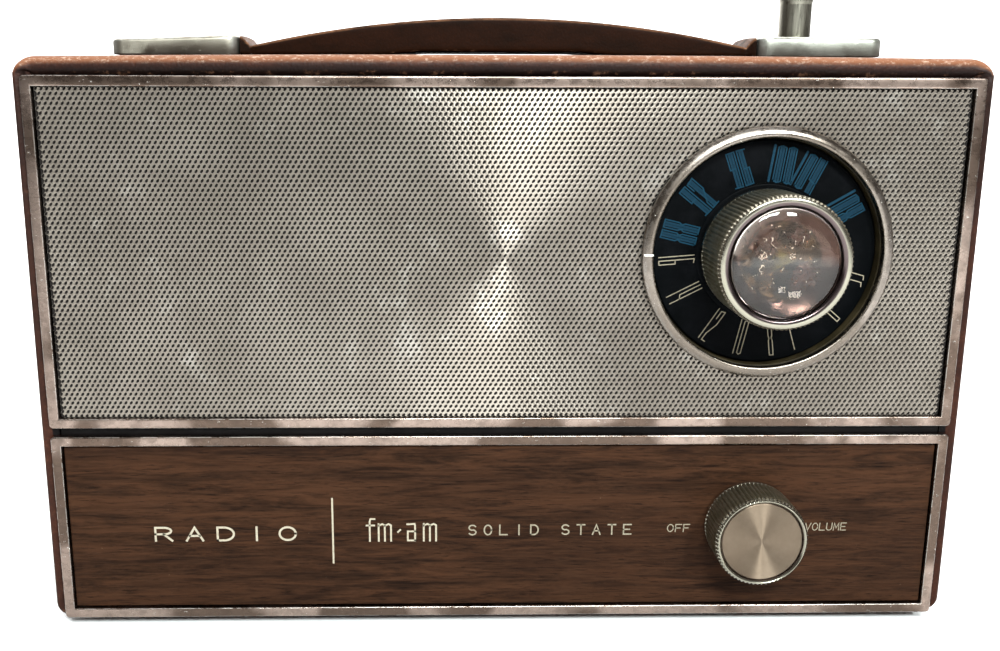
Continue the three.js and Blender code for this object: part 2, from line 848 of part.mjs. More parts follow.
function ferriteRod() {
  const half = 65;
  return turnedRight(rodProfile(ferriteRadius, -half, half), ferriteDepth, ferriteZ);
}

function ferriteCoil() {
  const [left, right, outer] = [-50, -24, 7.2];
  return turnedRight(tubeProfile(ferriteRadius + GAP, outer, left, right), ferriteDepth, ferriteZ);
}

function ferriteClip(left) {
  const half = 7;
  const shape = rectangle(ferriteDepth - half, ferriteZ - half, ferriteDepth + half, innerTop - GAP);
  shape.holes.push(roundHole(ferriteDepth, ferriteZ, ferriteRadius + GAP));
  const thickness = 5;
  return extrudeRight(shape, left, left + thickness);
}

// The band switch stands on the board, and its slider comes out through the back.
const bandX = 40;
const bandZ = innerBottom + 92;
const sliderFront = coverFront - 2.6;

function bandSwitch() {
  const [half, halfHeight] = [14, 5];
  return block(
    bandX - half,
    bandX + half,
    boardBack + GAP,
    sliderFront - GAP,
    bandZ - halfHeight,
    bandZ + halfHeight,
  );
}

// Its shoe lies behind the cover and its pip stands a little proud of it. It is drawn at the left end of
// its travel.
const pipLeft = bandX - 4;
const pipRight = bandX + 1;
const pipHalfHeight = 3;

function bandSlider() {
  const [shoeLeft, shoeRight, shoeHalfHeight, shoeThickness] = [bandX - 9, bandX + 6, 4.5, 2];
  const shoe = block(
    shoeLeft,
    shoeRight,
    sliderFront,
    sliderFront + shoeThickness,
    bandZ - shoeHalfHeight,
    bandZ + shoeHalfHeight,
  );
  const pip = block(
    pipLeft,
    pipRight,
    sliderFront + shoeThickness / 2,
    CASE_BACK + OVERRUN,
    bandZ - pipHalfHeight,
    bandZ + pipHalfHeight,
  );
  return join(shoe, pip);
}

const jackX = 104;
const jackRadius = 4;

function earphoneJack() {
  const [length, floor, bore] = [12, 2, 1.8];
  const face = CASE_BACK - 0.2;
  const profile = [
    [0, coverFront - length],
    [jackRadius, coverFront - length],
    [jackRadius, face],
    [bore, face],
    [bore, coverFront - length + floor],
    [0, coverFront - length + floor],
  ];
  return turnedBack(profile, jackX, volumeZ, HIDDEN_ROUND);
}

// ---- Batteries ----------------------------------------------------------------------------------------
const bayBottom = cellRowZ[0] - CELL_RADIUS - BAY_MARGIN;
const bayTop = cellRowZ[1] + CELL_RADIUS + BAY_MARGIN;
const bayFront = CELL_DEPTH - CELL_RADIUS - BAY_MARGIN;

function batteryTray() {
  const outer = block(BAY_LEFT, BAY_RIGHT, bayFront, coverFront - GAP, bayBottom, bayTop);
  const inner = block(
    BAY_LEFT + BAY_WALL,
    BAY_RIGHT - BAY_WALL,
    bayFront + BAY_WALL,
    coverFront + OVERRUN,
    bayBottom + BAY_WALL,
    bayTop - BAY_WALL,
  );
  return cut(outer, inner);
}

const bayMiddle = (BAY_LEFT + BAY_RIGHT) / 2;

// A round cell lying along X, its stud towards the end given by direction.
function batteryCell(column, row) {
  const direction = row === 0 ? 1 : -1;
  const start = column === 0 ? bayMiddle - CELL_LENGTH - GAP : bayMiddle + GAP;
  const [tail, stud] = direction > 0 ? [start, start + CELL_LENGTH] : [start + CELL_LENGTH, start];
  const [studRadius, studLength, rolled, sides] = [3, 2, 1, 24];
  const shoulder = stud - studLength * direction;
  const profile = [
    [0, tail],
    [CELL_RADIUS - rolled, tail],
    [CELL_RADIUS, tail + rolled * direction],
    [CELL_RADIUS, shoulder - rolled * direction],
    [CELL_RADIUS - rolled, shoulder],
    [studRadius, shoulder],
    [studRadius, stud],
    [0, stud],
  ];
  return turnedRight(profile, CELL_DEPTH, cellRowZ[row], sides);
}

// The sprung contact strip at one end of the bay, bent to press on both rows.
function batteryContact(side) {
  const wall = side < 0 ? BAY_LEFT + BAY_WALL + GAP : BAY_RIGHT - BAY_WALL - GAP;
  const inward = -side;
  const [thickness, reach, sides] = [0.6, 9, 12];
  const [bossFoot, bossTip] = [wall + inward * 0.2, wall + inward * 1.5];
  const plate = block(
    Math.min(wall, wall + inward * thickness),
    Math.max(wall, wall + inward * thickness),
    CELL_DEPTH - reach,
    CELL_DEPTH + reach,
    cellRowZ[0] - reach,
    cellRowZ[1] + reach,
  );
  const bossProfile = [
    [0, bossFoot],
    [5, bossFoot],
    [3, bossTip],
    [0, bossTip],
  ];
  const bosses = cellRowZ.map((z) => turnedRight(bossProfile, CELL_DEPTH, z, sides));
  return join(plate, ...bosses);
}

// ---- Back ---------------------------------------------------------------------------------------------
const doorInset = 1; // the door is this much smaller than the tray all round
const doorLeft = BAY_LEFT + doorInset;
const doorRight = BAY_RIGHT - doorInset;
const doorBottom = bayBottom + doorInset;
const doorTop = bayTop - doorInset;
const hingeDepth = (coverFront + CASE_BACK) / 2;
const hingeZ = doorBottom + BACK_THICKNESS / 2;
const screwX = 117;
const screwZ = innerTop - 9;
const screwRadius = 1.8;

function backCover() {
  const half = innerHalfWidth - GAP;
  const front = coverFront - OVERRUN;
  const back = CASE_BACK + OVERRUN;
  const plate = block(-half, half, coverFront, CASE_BACK, innerBottom + GAP, innerTop - GAP);
  const doorway = block(
    doorLeft - DOOR_SWING_GAP,
    doorRight + DOOR_SWING_GAP,
    front,
    back,
    doorBottom - DOOR_SWING_GAP,
    doorTop + DOOR_SWING_GAP,
  );
  const slack = 0.5;
  const bandSlot = block(
    pipLeft - slack,
    pipRight + BAND_TRAVEL + slack,
    front,
    back,
    bandZ - pipHalfHeight - slack,
    bandZ + pipHalfHeight + slack,
  );
  const jackHole = turnedBack(rodProfile(jackRadius + GAP, front, back), jackX, volumeZ, HIDDEN_ROUND);
  const screwHoles = [-1, 1].map((side) =>
    turnedBack(rodProfile(screwRadius + slack, front, back), side * screwX, screwZ, HIDDEN_ROUND),
  );
  const [slotCount, slotPitch, slotWidth, slotHalfHeight] = [12, 8, 2.5, 20];
  const slots = Array.from({ length: slotCount }, (_, i) => {
    const left = SPEAKER_X + (i - (slotCount - 1) / 2) * slotPitch - slotWidth / 2;
    return block(left, left + slotWidth, front, back, tuningZ - slotHalfHeight, tuningZ + slotHalfHeight);
  });
  return cut(plate, doorway, bandSlot, jackHole, ...screwHoles, ...slots);
}

// Upright when shut. Its lower edge is a half round that turns on the hinge line.
function batteryDoor() {
  const radius = BACK_THICKNESS / 2;
  const section = new THREE.Shape();
  section.moveTo(coverFront, doorTop);
  section.lineTo(coverFront, hingeZ);
  section.absarc(hingeDepth, hingeZ, radius, Math.PI, 2 * Math.PI);
  section.lineTo(CASE_BACK, doorTop);
  section.lineTo(coverFront, doorTop);
  return extrudeRight(section, doorLeft, doorRight);
}

// Coin-slotted screw that holds the back to the case.
function backScrew(side) {
  const x = side * screwX;
  const headFront = CASE_BACK + GAP;
  const tip = coverFront - 8;
  const [headRadius, headEdge, slotDepth, slotHalf] = [4, 0.5, 0.8, 0.5];
  const profile = [
    [0, tip],
    [screwRadius, tip],
    [screwRadius, headFront],
    [headRadius, headFront],
    [headRadius, screwHeadBack - headEdge],
    [headRadius - headEdge, screwHeadBack],
    [0, screwHeadBack],
  ];
  const slot = block(
    x - headRadius - OVERRUN,
    x + headRadius + OVERRUN,
    screwHeadBack - slotDepth,
    screwHeadBack + OVERRUN,
    screwZ - slotHalf,
    screwZ + slotHalf,
  );
  return cut(turnedBack(profile, x, screwZ, HIDDEN_ROUND), slot);
}

function foot(x, y) {
  const [edge, sides] = [0.5, 24];
  const profile = [
    [0, 0],
    [FOOT_RADIUS - edge, 0],
    [FOOT_RADIUS, edge],
    [FOOT_RADIUS, FOOT_HEIGHT - GAP],
    [0, FOOT_HEIGHT - GAP],
  ];
  return turnedUp(profile, x, y, sides);
}

// ---- Assembly -----------------------------------------------------------------------------------------
add("case_shell", caseShell(), leatherette());
add("front_baffle", frontBaffle(), blackPlastic());
add("upper_frame", trimFrame(upperFrameBottom, upperFrameTop), agedAluminium());
add("lower_frame", trimFrame(lowerFrameBottom, lowerFrameTop), agedAluminium());
add("speaker_grille", speakerGrille(), brushedAluminium());
add("wood_panel", woodPanel(), walnut());

add("dial_housing", dialHousing(), blackPlastic());
add("dial_bezel", dialBezel(), agedAluminium());
add("dial_disc", dialDisc(), blackPlastic());
add("tuning_knob", tuningKnob(), brushedAluminium());
add("tuning_knob_emblem", tuningEmblem(), agedAluminium());
add("tuning_knob_lens", tuningLens(), clearPlastic());
add("tuning_shaft", tuningShaft(), steel());
add("tuning_capacitor", tuningCapacitor(), greyPlastic());

add("volume_knob", volumeKnob(), brushedAluminium());
add("volume_knob_cap", volumeKnobCap(), brushedAluminium());
add("volume_shaft", volumeShaft(), steel());
add("volume_control", volumeControl(), steel());

add("handle_strap", handleStrap(), leather());
for (const [side, word] of [
  [-1, "left"],
  [1, "right"],
]) {
  add(`handle_tab_${word}`, handleTab(side), leather());
  add(`handle_plate_${word}`, handlePlate(side), dieCast());
  add(`battery_contact_${word}`, batteryContact(side), steel());
  add(`back_screw_${word}`, backScrew(side), steel());
}

add("antenna_tube", aerialStage(0), steel());
for (const index of [1, 2, 3]) add(`antenna_section_${index}`, aerialStage(index), chrome());
add("antenna_rod", aerialRod(), chrome());
add("antenna_cap", aerialCap(), dieCast());
add("antenna_bracket", aerialBracket(), greyPlastic());

add("speaker_basket", speakerBasket(), steel());
add("speaker_cone", speakerCone(), paper());
add("speaker_magnet", speakerMagnet(), steel());

add("circuit_board", circuitBoard(), phenolic());
for (const [index, x] of [24, 100].entries()) add(`if_transformer_${index + 1}`, ifTransformer(x), steel());
add("audio_transformer", audioTransformer(), steel());
add("electrolytic_capacitor", electrolytic(), cellJacket());
add("ferrite_rod", ferriteRod(), ferrite());
add("ferrite_coil", ferriteCoil(), copper());
add("ferrite_clip_left", ferriteClip(-62), greyPlastic());
add("ferrite_clip_right", ferriteClip(57), greyPlastic());
add("band_switch", bandSwitch(), greyPlastic());
add("band_switch_slider", bandSlider(), blackPlastic());
add("earphone_jack", earphoneJack(), blackPlastic());

add("battery_tray", batteryTray(), greyPlastic());
for (const row of [0, 1]) {
  for (const column of [0, 1]) {
    add(`battery_${2 * row + column + 1}`, batteryCell(column, row), cellJacket());
  }
}
add("back_cover", backCover(), blackPlastic());
add("battery_door", batteryDoor(), blackPlastic());

const footX = CASE_WIDTH / 2 - FOOT_INSET;
for (const [x, sideWord] of [
  [-footX, "left"],
  [footX, "right"],
]) {
  for (const [y, endWord] of [
    [FOOT_INSET, "front"],
    [CASE_BACK - FOOT_INSET + CASE_FRONT, "rear"],
  ]) {
    add(`foot_${endWord}_${sideWord}`, foot(x, y), rubber());
  }
}

export default radio;
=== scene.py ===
import math

import bpy
import numpy as np
from mathutils import Matrix, Vector, noise


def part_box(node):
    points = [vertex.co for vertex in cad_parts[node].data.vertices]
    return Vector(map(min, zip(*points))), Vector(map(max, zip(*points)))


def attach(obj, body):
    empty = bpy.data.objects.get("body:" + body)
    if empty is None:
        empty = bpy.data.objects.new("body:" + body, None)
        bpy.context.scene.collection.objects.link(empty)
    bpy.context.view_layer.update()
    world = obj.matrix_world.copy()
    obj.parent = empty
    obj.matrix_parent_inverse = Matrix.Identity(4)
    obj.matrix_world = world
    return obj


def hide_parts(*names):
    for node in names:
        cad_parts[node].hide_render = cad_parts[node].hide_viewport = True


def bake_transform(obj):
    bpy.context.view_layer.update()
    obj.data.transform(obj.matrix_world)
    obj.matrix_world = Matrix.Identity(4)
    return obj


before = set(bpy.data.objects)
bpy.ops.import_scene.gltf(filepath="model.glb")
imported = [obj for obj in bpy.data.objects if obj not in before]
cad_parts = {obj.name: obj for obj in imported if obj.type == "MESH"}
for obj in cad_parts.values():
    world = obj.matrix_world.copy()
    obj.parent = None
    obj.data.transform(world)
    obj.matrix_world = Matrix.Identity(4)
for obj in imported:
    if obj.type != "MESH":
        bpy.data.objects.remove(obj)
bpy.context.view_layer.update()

# ---- Dimensions, in millimetres -----------------------------------------------------------------------
MM = 0.001
CASE_CORNER_RADIUS = 5
CASE_TOP_ROLL = 2.85  # radius of the bead along the top of the front
CASE_SIDE_ROUNDING = 0.8
CASE_SIDE_FORWARD = 1.1  # the covering stands this far in front of the shell beside the trim
CASE_SIDE_PROUD = 0.6  # and this far outside it at the bottom, and not at all at the top
CASE_BOTTOM_ROUNDING = 0.8
CASE_CROWN = 0.7  # the top sinks this much towards its two ends
CASE_SHELF = 1.3  # width of the flat face beside the trim
CASE_LINING = 6  # how far the covering goes in behind its front edge
BAFFLE_GAP = 0.3

TRIM_WIDTH = 2.8
TRIM_FLANGE = 1.7
TRIM_LEG = 0.5
TRIM_EDGE = 0.45
TRIM_CORNER_RADIUS = 1.1

HOLE_PITCH = 1.4525
ROW_PITCH = 1.2335
HOLE_LENGTH = 1.34
HOLE_WIDTH = 0.8
HOLE_LEAN = math.radians(50)  # the slots lean to the right, this far above the horizontal
GRILLE_DEPTH = 0.4
WEB_ROUNDING = 0.2  # how far the sheet's surface seems to lean into each hole

DIGIT_INNER = 19.0
DIGIT_OUTER = 28.6
FM_NUMBERS = {"88": 13.5, "92": 38.9, "96": 70.3, "100": 97.9, "104": 115.8, "108": 149.9}
AM_NUMBERS = {
    "16": -4.5,
    "14": -27,
    "12": -56.5,
    "10": -78,
    "8": -97.8,
    "7": -111.1,
    "6": -139.6,
    "55": -164.2,
}
SHADE_WIDTH = 0.7  # the darker fill inside the upper numbers
SHADE_MARGIN = 0.3
PAINT_THICKNESS = 0.05

MIX_INPUTS = (0, 6, 7)  # where a colour mix node takes its share and its two colours
MIX_RESULT = 2

# Each knob's teeth, and in millimetres its smooth foot, its mouth's radius and how deep its front rim is.
TUNING_KNOB = {"teeth": 91, "flange": 1.4, "mouth": 14.4, "rim": 0.9}
VOLUME_KNOB = {"teeth": 69, "flange": 1.2, "mouth": 11.2, "rim": 0.8}
SHAFT_BORE = 3.3
TOOTH_DEPTH = 0.34
PLATE_FALL = {"left": 1.3, "right": 0.3}  # how much each end plate falls towards its outer end
AERIAL_CLEARANCE = 0.3
AERIAL_TIP_EXTRA = 0.3  # how much wider than the CAD model's the tip, the dome and the volume face are
DOME_EXTRA = 0.2
VOLUME_FACE_EXTRA = 0.25
AERIAL_TIP_DROP = 0.5  # how much lower the tip's foot is
HANDLE_OFFSET = -0.9  # the handle sits this far from the middle of the case

NECK = 69.0  # distance from the middle to the strap's narrowest place
STRAP_TOP = 10.4  # height of the strap's top over the case, in the middle
STRAP_CURVE = 0.00162  # how much it falls, for the square of the distance from the middle
STRAP_REST = 0.3  # height of the underside
STRAP_ARCH_RISE = 1.0  # and how much higher it is near the middle
STRAP_ARCH = 20  # it starts to settle this far from the middle
STRAP_SETTLE = 16  # and takes this long
TAB_START = 2.9  # past the neck the top rises again to a tab
TAB_RISE = 2.4
TAB_LENGTH = 2.2
CAMERA_PLACE = (-0.0183, -0.3249, 0.1509)
CAMERA_DOWN = 0.241
CAMERA_RIGHT = 0.021
CAMERA_ROLL = 0.003
CAMERA_LENS = 40.36
CAMERA_SHIFT = (0.04, 0.0395)


def edges(node):
    """The lowest and highest corner of a CAD node, in millimetres."""
    low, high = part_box(node)
    return np.array(low) / MM, np.array(high) / MM


def middle(node):
    low, high = edges(node)
    return (low + high) / 2


def round_size(node):
    """A round node's lowest and highest corner, its middle and its radius."""
    low, high = edges(node)
    return low, high, (low + high) / 2, (high[0] - low[0]) / 2


def in_scene(name, data):
    made = bpy.data.objects.new(name, data)
    bpy.context.scene.collection.objects.link(made)
    return made


# ---- Materials ----------------------------------------------------------------------------------------
def srgb(red, green, blue):
    """A colour given as it looks on a screen, 0 to 255, as linear light."""
    shares = [channel / 255 for channel in (red, green, blue)]
    linear = [s / 12.92 if s <= 0.04045 else ((s + 0.055) / 1.055) ** 2.4 for s in shares]
    return (*linear, 1.0)


class Surface:
    """A Principled material, with short calls for the kinds of node that this scene uses."""

    def __init__(self, name, constants):
        self.material = bpy.data.materials.new(name)
        self.material.use_nodes = True
        self.tree = self.material.node_tree
        self.shader = self.tree.nodes["Principled BSDF"]
        self.coordinates = self.tree.nodes.new("ShaderNodeTexCoord")
        self.place = self.coordinates.outputs["Object"]
        for socket, value in constants.items():
            self.shader.inputs[socket].default_value = value

    def node(self, kind, inputs, output=0, **settings):
        made = self.tree.nodes.new(kind)
        for key, value in settings.items():
            setattr(made, key, value)
        for key, value in inputs.items():
            if isinstance(value, bpy.types.NodeSocket):
                self.tree.links.new(value, made.inputs[key])
            else:
                made.inputs[key].default_value = value
        return made.outputs[output]

    def noise(self, size, detail=3, roughness=0.55, stretch=(1, 1, 1), distortion=0, shift=(0, 0, 0)):
        """Cloudy noise with features of about size millimetres, drawn out along each axis by stretch."""
        scale = [1 / factor for factor in stretch]
        place = self.node("ShaderNodeMapping", {"Vector": self.place, "Location": shift, "Scale": scale})
        settings = {
            "Vector": place,
            "Scale": 1 / (size * MM),
            "Detail": detail,
            "Roughness": roughness,
            "Distortion": distortion,
        }
        return self.node("ShaderNodeTexNoise", settings)

    def cells(self, size, feature="F1"):
        """Distances within a pattern of cells about size millimetres across."""
        settings = {"Vector": self.place, "Scale": 1 / (size * MM)}
        return self.node("ShaderNodeTexVoronoi", settings, feature=feature)

    def ramp(self, value, low, high, start=0.0, end=1.0):
        settings = {"Value": value, "From Min": low, "From Max": high, "To Min": start, "To Max": end}
        return self.node("ShaderNodeMapRange", settings, interpolation_type="SMOOTHSTEP")

    def mix(self, share, first, second):
        """The first colour, with a share of the second."""
        inputs = dict(zip(MIX_INPUTS, (share, first, second)))
        return self.node("ShaderNodeMix", inputs, MIX_RESULT, data_type="RGBA")

    def coat(self, colour, share, tint, strength=None):
        """The colour with a screen tint over a share of it."""
        if strength is not None:
            share = self.times(share, strength)
        return self.mix(share, colour, srgb(*tint))

    def maths(self, operation, *values):
        return self.node("ShaderNodeMath", dict(enumerate(values)), operation=operation)

    def times(self, first, *others):
        for other in others:
            first = self.maths("MULTIPLY", first, other)
        return first

    def absolute(self, value):
        return self.maths("ABSOLUTE", value)

    def axis(self, name, source=None):
        return self.node("ShaderNodeSeparateXYZ", {0: source or self.place}, "XYZ".index(name))

    def edge_share(self):
        """0 on faces square to the axes, rising on rounded edges and corners."""
        normal = self.coordinates.outputs["Normal"]
        parts = [self.absolute(self.axis(name, normal)) for name in "XYZ"]
        largest = self.maths("MAXIMUM", self.maths("MAXIMUM", parts[0], parts[1]), parts[2])
        return self.ramp(largest, 0.98, 0.78)

    def use(self, socket, value):
        self.tree.links.new(value, self.shader.inputs[socket])

    def bump(self, height, depth):
        """Relief of depth millimetres between the lowest and highest height."""
        relief = self.node("ShaderNodeBump", {"Height": height, "Distance": depth * MM, "Strength": 1.0})
        self.use("Normal", relief)

    def finished(self, colour, roughness, height, depth):
        """The material, with its colour, roughness and relief joined up."""
        self.use("Base Color", colour)
        self.use("Roughness", roughness)
        self.bump(height, depth)
        return self.material


def leatherette():
    s = Surface("leatherette", {"Specular IOR Level": 0.1})
    low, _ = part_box("case_shell")
    facing_up = s.axis("Z", s.coordinates.outputs["Normal"])
    near_front = s.ramp(s.axis("Y"), low.y + 0.008, low.y + 0.002)
    sideways = s.absolute(s.axis("X"))
    height = s.axis("Z")
    upper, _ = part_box("upper_frame")
    _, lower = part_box("lower_frame")
    across = s.ramp(sideways, -upper.x, -upper.x - 0.0003)
    above_lower = s.ramp(height, lower.z - 0.0006, lower.z)
    between = s.times(above_lower, s.ramp(height, upper.z + 0.0006, upper.z))
    shadow_gap = s.times(across, between, near_front)
    under_lip = s.ramp(height, upper.z + 0.05, upper.z + 0.08)
    blotches = s.noise(18, 5, 0.65)
    pebbles = s.cells(0.7, feature="SMOOTH_F1")
    creases = s.noise(1.6, 5, 0.7)
    colour = s.mix(s.ramp(blotches, 0.36, 0.64), srgb(40, 20, 13), srgb(60, 31, 20))
    colour = s.coat(colour, s.ramp(pebbles, 0.1, 0.55, 0.0, 0.4), (26, 12, 9))
    # Painted highlight: a tan tint on the upward-facing part of the front bead, where the light from above
    # falls.
    painted_bead_highlight = s.times(s.ramp(facing_up, 0.15, 0.8), near_front)
    colour = s.coat(colour, painted_bead_highlight, (140, 92, 66), 0.8)
    # Painted shade: near-black on the downward-facing underside of the bead, in the crevice next to the
    # trim.
    painted_crevice_shade = s.times(s.ramp(facing_up, 0.45, -0.35), s.times(near_front, under_lip))
    colour = s.coat(colour, painted_crevice_shade, (14, 8, 7), 0.85)
    # Rubbed wear with painted glints: near-white specks only on the upward-facing top of the bead.
    rubbed = s.times(painted_bead_highlight, s.ramp(s.noise(0.9, 6, 0.8, (2, 1, 1)), 0.52, 0.64))
    colour = s.coat(colour, rubbed, (226, 204, 184), 0.45)
    worn = s.times(s.edge_share(), s.ramp(s.noise(3, 6, 0.8), 0.55, 0.66))
    colour = s.coat(colour, worn, (150, 106, 80), 0.35)
    colour = s.coat(colour, shadow_gap, (9, 5, 5))
    s.use("Base Color", colour)
    s.use("Roughness", s.ramp(creases, 0.3, 0.7, 0.56, 0.4))
    grain = s.maths("ADD", pebbles, s.times(creases, 0.5))
    s.bump(grain, 0.1)
    return s.material


def strap_leather():
    s = Surface("strap_leather", {"Specular IOR Level": 0.03})
    facing_up = s.axis("Z", s.coordinates.outputs["Normal"])
    blotches = s.noise(9, 5, 0.65, (2.4, 1, 1))
    pores = s.cells(0.55, feature="SMOOTH_F1")
    folds = s.noise(1.4, 5, 0.7, (1, 2, 1))
    colour = s.mix(s.ramp(blotches, 0.35, 0.65), srgb(19, 8, 3), srgb(34, 15, 6))
    colour = s.coat(colour, s.ramp(pores, 0.1, 0.5, 0.0, 0.3), (16, 7, 4))
    # Painted highlight: a broken tan line along the upward-facing rolled top edge of the strap, where the
    # light from above falls.
    rolled = s.times(s.ramp(facing_up, 0.2, 0.6), s.ramp(facing_up, 0.99, 0.85))
    edge = s.times(rolled, s.ramp(s.noise(3.5, 6, 0.8, (3, 1, 1)), 0.3, 0.6))
    colour = s.coat(colour, edge, (122, 84, 60), 0.6)
    worn = s.times(s.edge_share(), s.ramp(s.noise(1.4, 6, 0.8, (3, 1, 1)), 0.54, 0.64))
    colour = s.coat(colour, worn, (150, 108, 82), 0.4)
    return s.finished(
        colour,
        s.ramp(folds, 0.3, 0.7, 0.56, 0.4),
        s.maths("ADD", pores, s.times(folds, 0.8)),
        0.035,
    )


def aged_trim(name, dark, light, edge_wear):
    s = Surface(name, {"Metallic": 1.0, "Specular IOR Level": 0.5})
    tarnish = s.noise(30, 3, 0.5)
    haze = s.noise(0.9, 5, 0.75, (4, 1, 3))
    nicks = s.ramp(s.noise(0.8, 4, 0.8, (2.5, 1, 1)), 0.66, 0.7)
    grey = tuple(round(channel * 0.72) for channel in dark)
    colour = s.mix(s.ramp(tarnish, 0.45, 0.55), srgb(*dark), srgb(*light))
    colour = s.coat(colour, s.ramp(haze, 0.4, 0.7, 0.0, 0.4), grey)
    bright = s.maths("MAXIMUM", nicks, s.times(s.edge_share(), s.ramp(haze, 0.4, 0.54, 0.0, edge_wear)))
    # Painted shade: the left upright bars are darkened towards grey.
    painted_left_shade = s.ramp(s.axis("X"), -0.1195, -0.1225, 0.0, 0.3)
    colour = s.coat(colour, painted_left_shade, grey)
    colour = s.coat(colour, bright, (236, 232, 226), 0.75)
    return s.finished(
        colour,
        s.ramp(haze, 0.3, 0.7, 0.2, 0.36),
        s.maths("ADD", haze, s.times(nicks, -0.6)),
        0.035,
    )


def brushed(name, tints, roughness, anisotropy, scuffs=0.0):
    """Metal with a circular brushed grain about a front-to-back axis through the texture's centre."""
    constants = {"Metallic": 1.0, "Roughness": roughness}
    constants |= {"Anisotropic": anisotropy, "Anisotropic Rotation": 0.25}
    s = Surface(name, constants)
    tangent = s.node("ShaderNodeTangent", {}, direction_type="RADIAL", axis="Y")
    s.use("Tangent", tangent)
    dull = s.noise(30, 5, 0.65)
    fine = s.noise(1.8, 4, 0.7)
    colour = s.mix(s.ramp(dull, 0.36, 0.66), srgb(*tints[0]), srgb(*tints[1]))
    colour = s.coat(colour, s.ramp(fine, 0.4, 0.75, 0.0, 0.25), tints[2])
    if scuffs:
        scuffed = s.ramp(s.noise(16, 6, 0.75, shift=(0.4, 0, 0.13)), 0.56, 0.7)
        colour = s.coat(colour, scuffed, (232, 228, 220), scuffs)
    s.use("Base Color", colour)
    return s.material


def knurled_metal(node, flange, lip):
    """Turned and knurled metal: dull olive-grey sides, a bright rim and flange, and a mauve-grey mouth
    inside the radius lip."""
    s = Surface(f"{node}_metal", {"Metallic": 1.0, "Specular IOR Level": 0.5})
    low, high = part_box(node)
    grime = s.noise(4, 4, 0.6)
    streaks = s.noise(0.25, 3, 0.6, (1, 30, 1))
    colour = s.mix(s.ramp(grime, 0.38, 0.66), srgb(128, 123, 104), srgb(158, 152, 134))
    colour = s.coat(colour, s.ramp(streaks, 0.35, 0.7, 0.0, 0.35), (84, 79, 64))
    rim = s.ramp(s.axis("Y"), low.y + 0.0015, low.y + 0.0012)
    foot = s.ramp(s.axis("Y"), high.y - flange * MM - 0.0001, high.y - flange * MM + 0.0001)
    colour = s.coat(colour, foot, (200, 195, 180), 0.85)
    colour = s.coat(colour, rim, (152, 147, 133), 0.9)
    flat = s.node("ShaderNodeVectorMath", {0: s.place, 1: (1, 0, 1)}, operation="MULTIPLY")
    axis = ((low.x + high.x) / 2, 0, (low.z + high.z) / 2)
    radius = s.node("ShaderNodeVectorMath", {0: flat, 1: axis}, 1, operation="DISTANCE")
    colour = s.coat(colour, s.ramp(radius, lip * MM, (lip - 0.5) * MM), (92, 80, 80))
    s.use("Base Color", colour)
    polish = s.times(s.maths("MAXIMUM", rim, foot), -0.24)
    s.use("Roughness", s.maths("ADD", s.ramp(grime, 0.3, 0.7, 0.5, 0.42), polish))
    s.bump(streaks, 0.012)
    return s.material


def foil():
    """Foil with rust-coloured patches, an olive middle and a smooth mauve-grey border."""
    s = Surface("crumpled_foil", {"Specular IOR Level": 0.5})
    centre = Vector(middle("tuning_knob_emblem")) * MM
    wander = s.noise(1.6, 4, 0.7, shift=(0.01, 0, 0.02))
    patina = s.noise(5, 4, 0.6, shift=(0.2, 0, 0.1))

    def spot(x, z, radius, edge):
        at = centre + Vector((x, 0, z)) * MM
        away = s.node("ShaderNodeVectorMath", {0: s.place, 1: at}, 1, operation="DISTANCE")
        rough = s.maths("ADD", away, s.times(s.maths("SUBTRACT", wander, 0.5), 0.007))
        return s.ramp(rough, (radius + edge) * MM, (radius - edge) * MM)

    colour = s.mix(s.ramp(patina, 0.42, 0.6), srgb(96, 80, 62), srgb(30, 21, 14))
    rust = s.maths("MAXIMUM", spot(-4.8, 4.6, 4.0, 0.5), spot(5.4, -3.4, 3.2, 0.5))
    rust = s.maths("MAXIMUM", rust, spot(4.0, 6.4, 2.4, 0.5))
    colour = s.coat(colour, rust, (58, 22, 8), 0.9)
    colour = s.coat(colour, spot(0, 0, 2.2, 0.3), (92, 86, 50))
    border = s.node("ShaderNodeVectorMath", {0: s.place, 1: centre}, 1, operation="DISTANCE")
    border = s.ramp(border, 0.0094, 0.0102)
    colour = s.coat(colour, border, (88, 74, 72))
    fold = s.absolute(s.maths("SUBTRACT", s.noise(3.4, 3, 0.6, shift=(0.1, 0, 0.4)), 0.5))
    broken = s.ramp(s.noise(2.4, 3, 0.6, shift=(0.3, 0, 0.7)), 0.54, 0.58)
    glint = s.times(s.times(s.ramp(fold, 0.02, 0.008), broken), s.maths("SUBTRACT", 1.0, border))
    colour = s.coat(colour, glint, (250, 248, 240))
    s.use("Base Color", colour)
    s.use("Metallic", s.maths("SUBTRACT", 1.0, s.maths("MAXIMUM", glint, s.times(rust, 0.75))))
    s.use("Roughness", s.ramp(patina, 0.35, 0.65, 0.12, 0.26))
    s.bump(s.times(s.noise(0.9, 4, 0.7), s.maths("SUBTRACT", 1.0, border)), 0.06)
    return s.material


def clear_dome():
    constants = {"Transmission Weight": 1.0, "IOR": 1.49, "Specular IOR Level": 0.25}
    constants["Base Color"] = srgb(238, 226, 216)
    s = Surface("clear_dome", constants)
    s.use("Roughness", s.ramp(s.noise(3, 6, 0.8), 0.5, 0.75, 0.0, 0.06))
    s.bump(s.noise(1.2, 4, 0.7), 0.008)
    return s.material


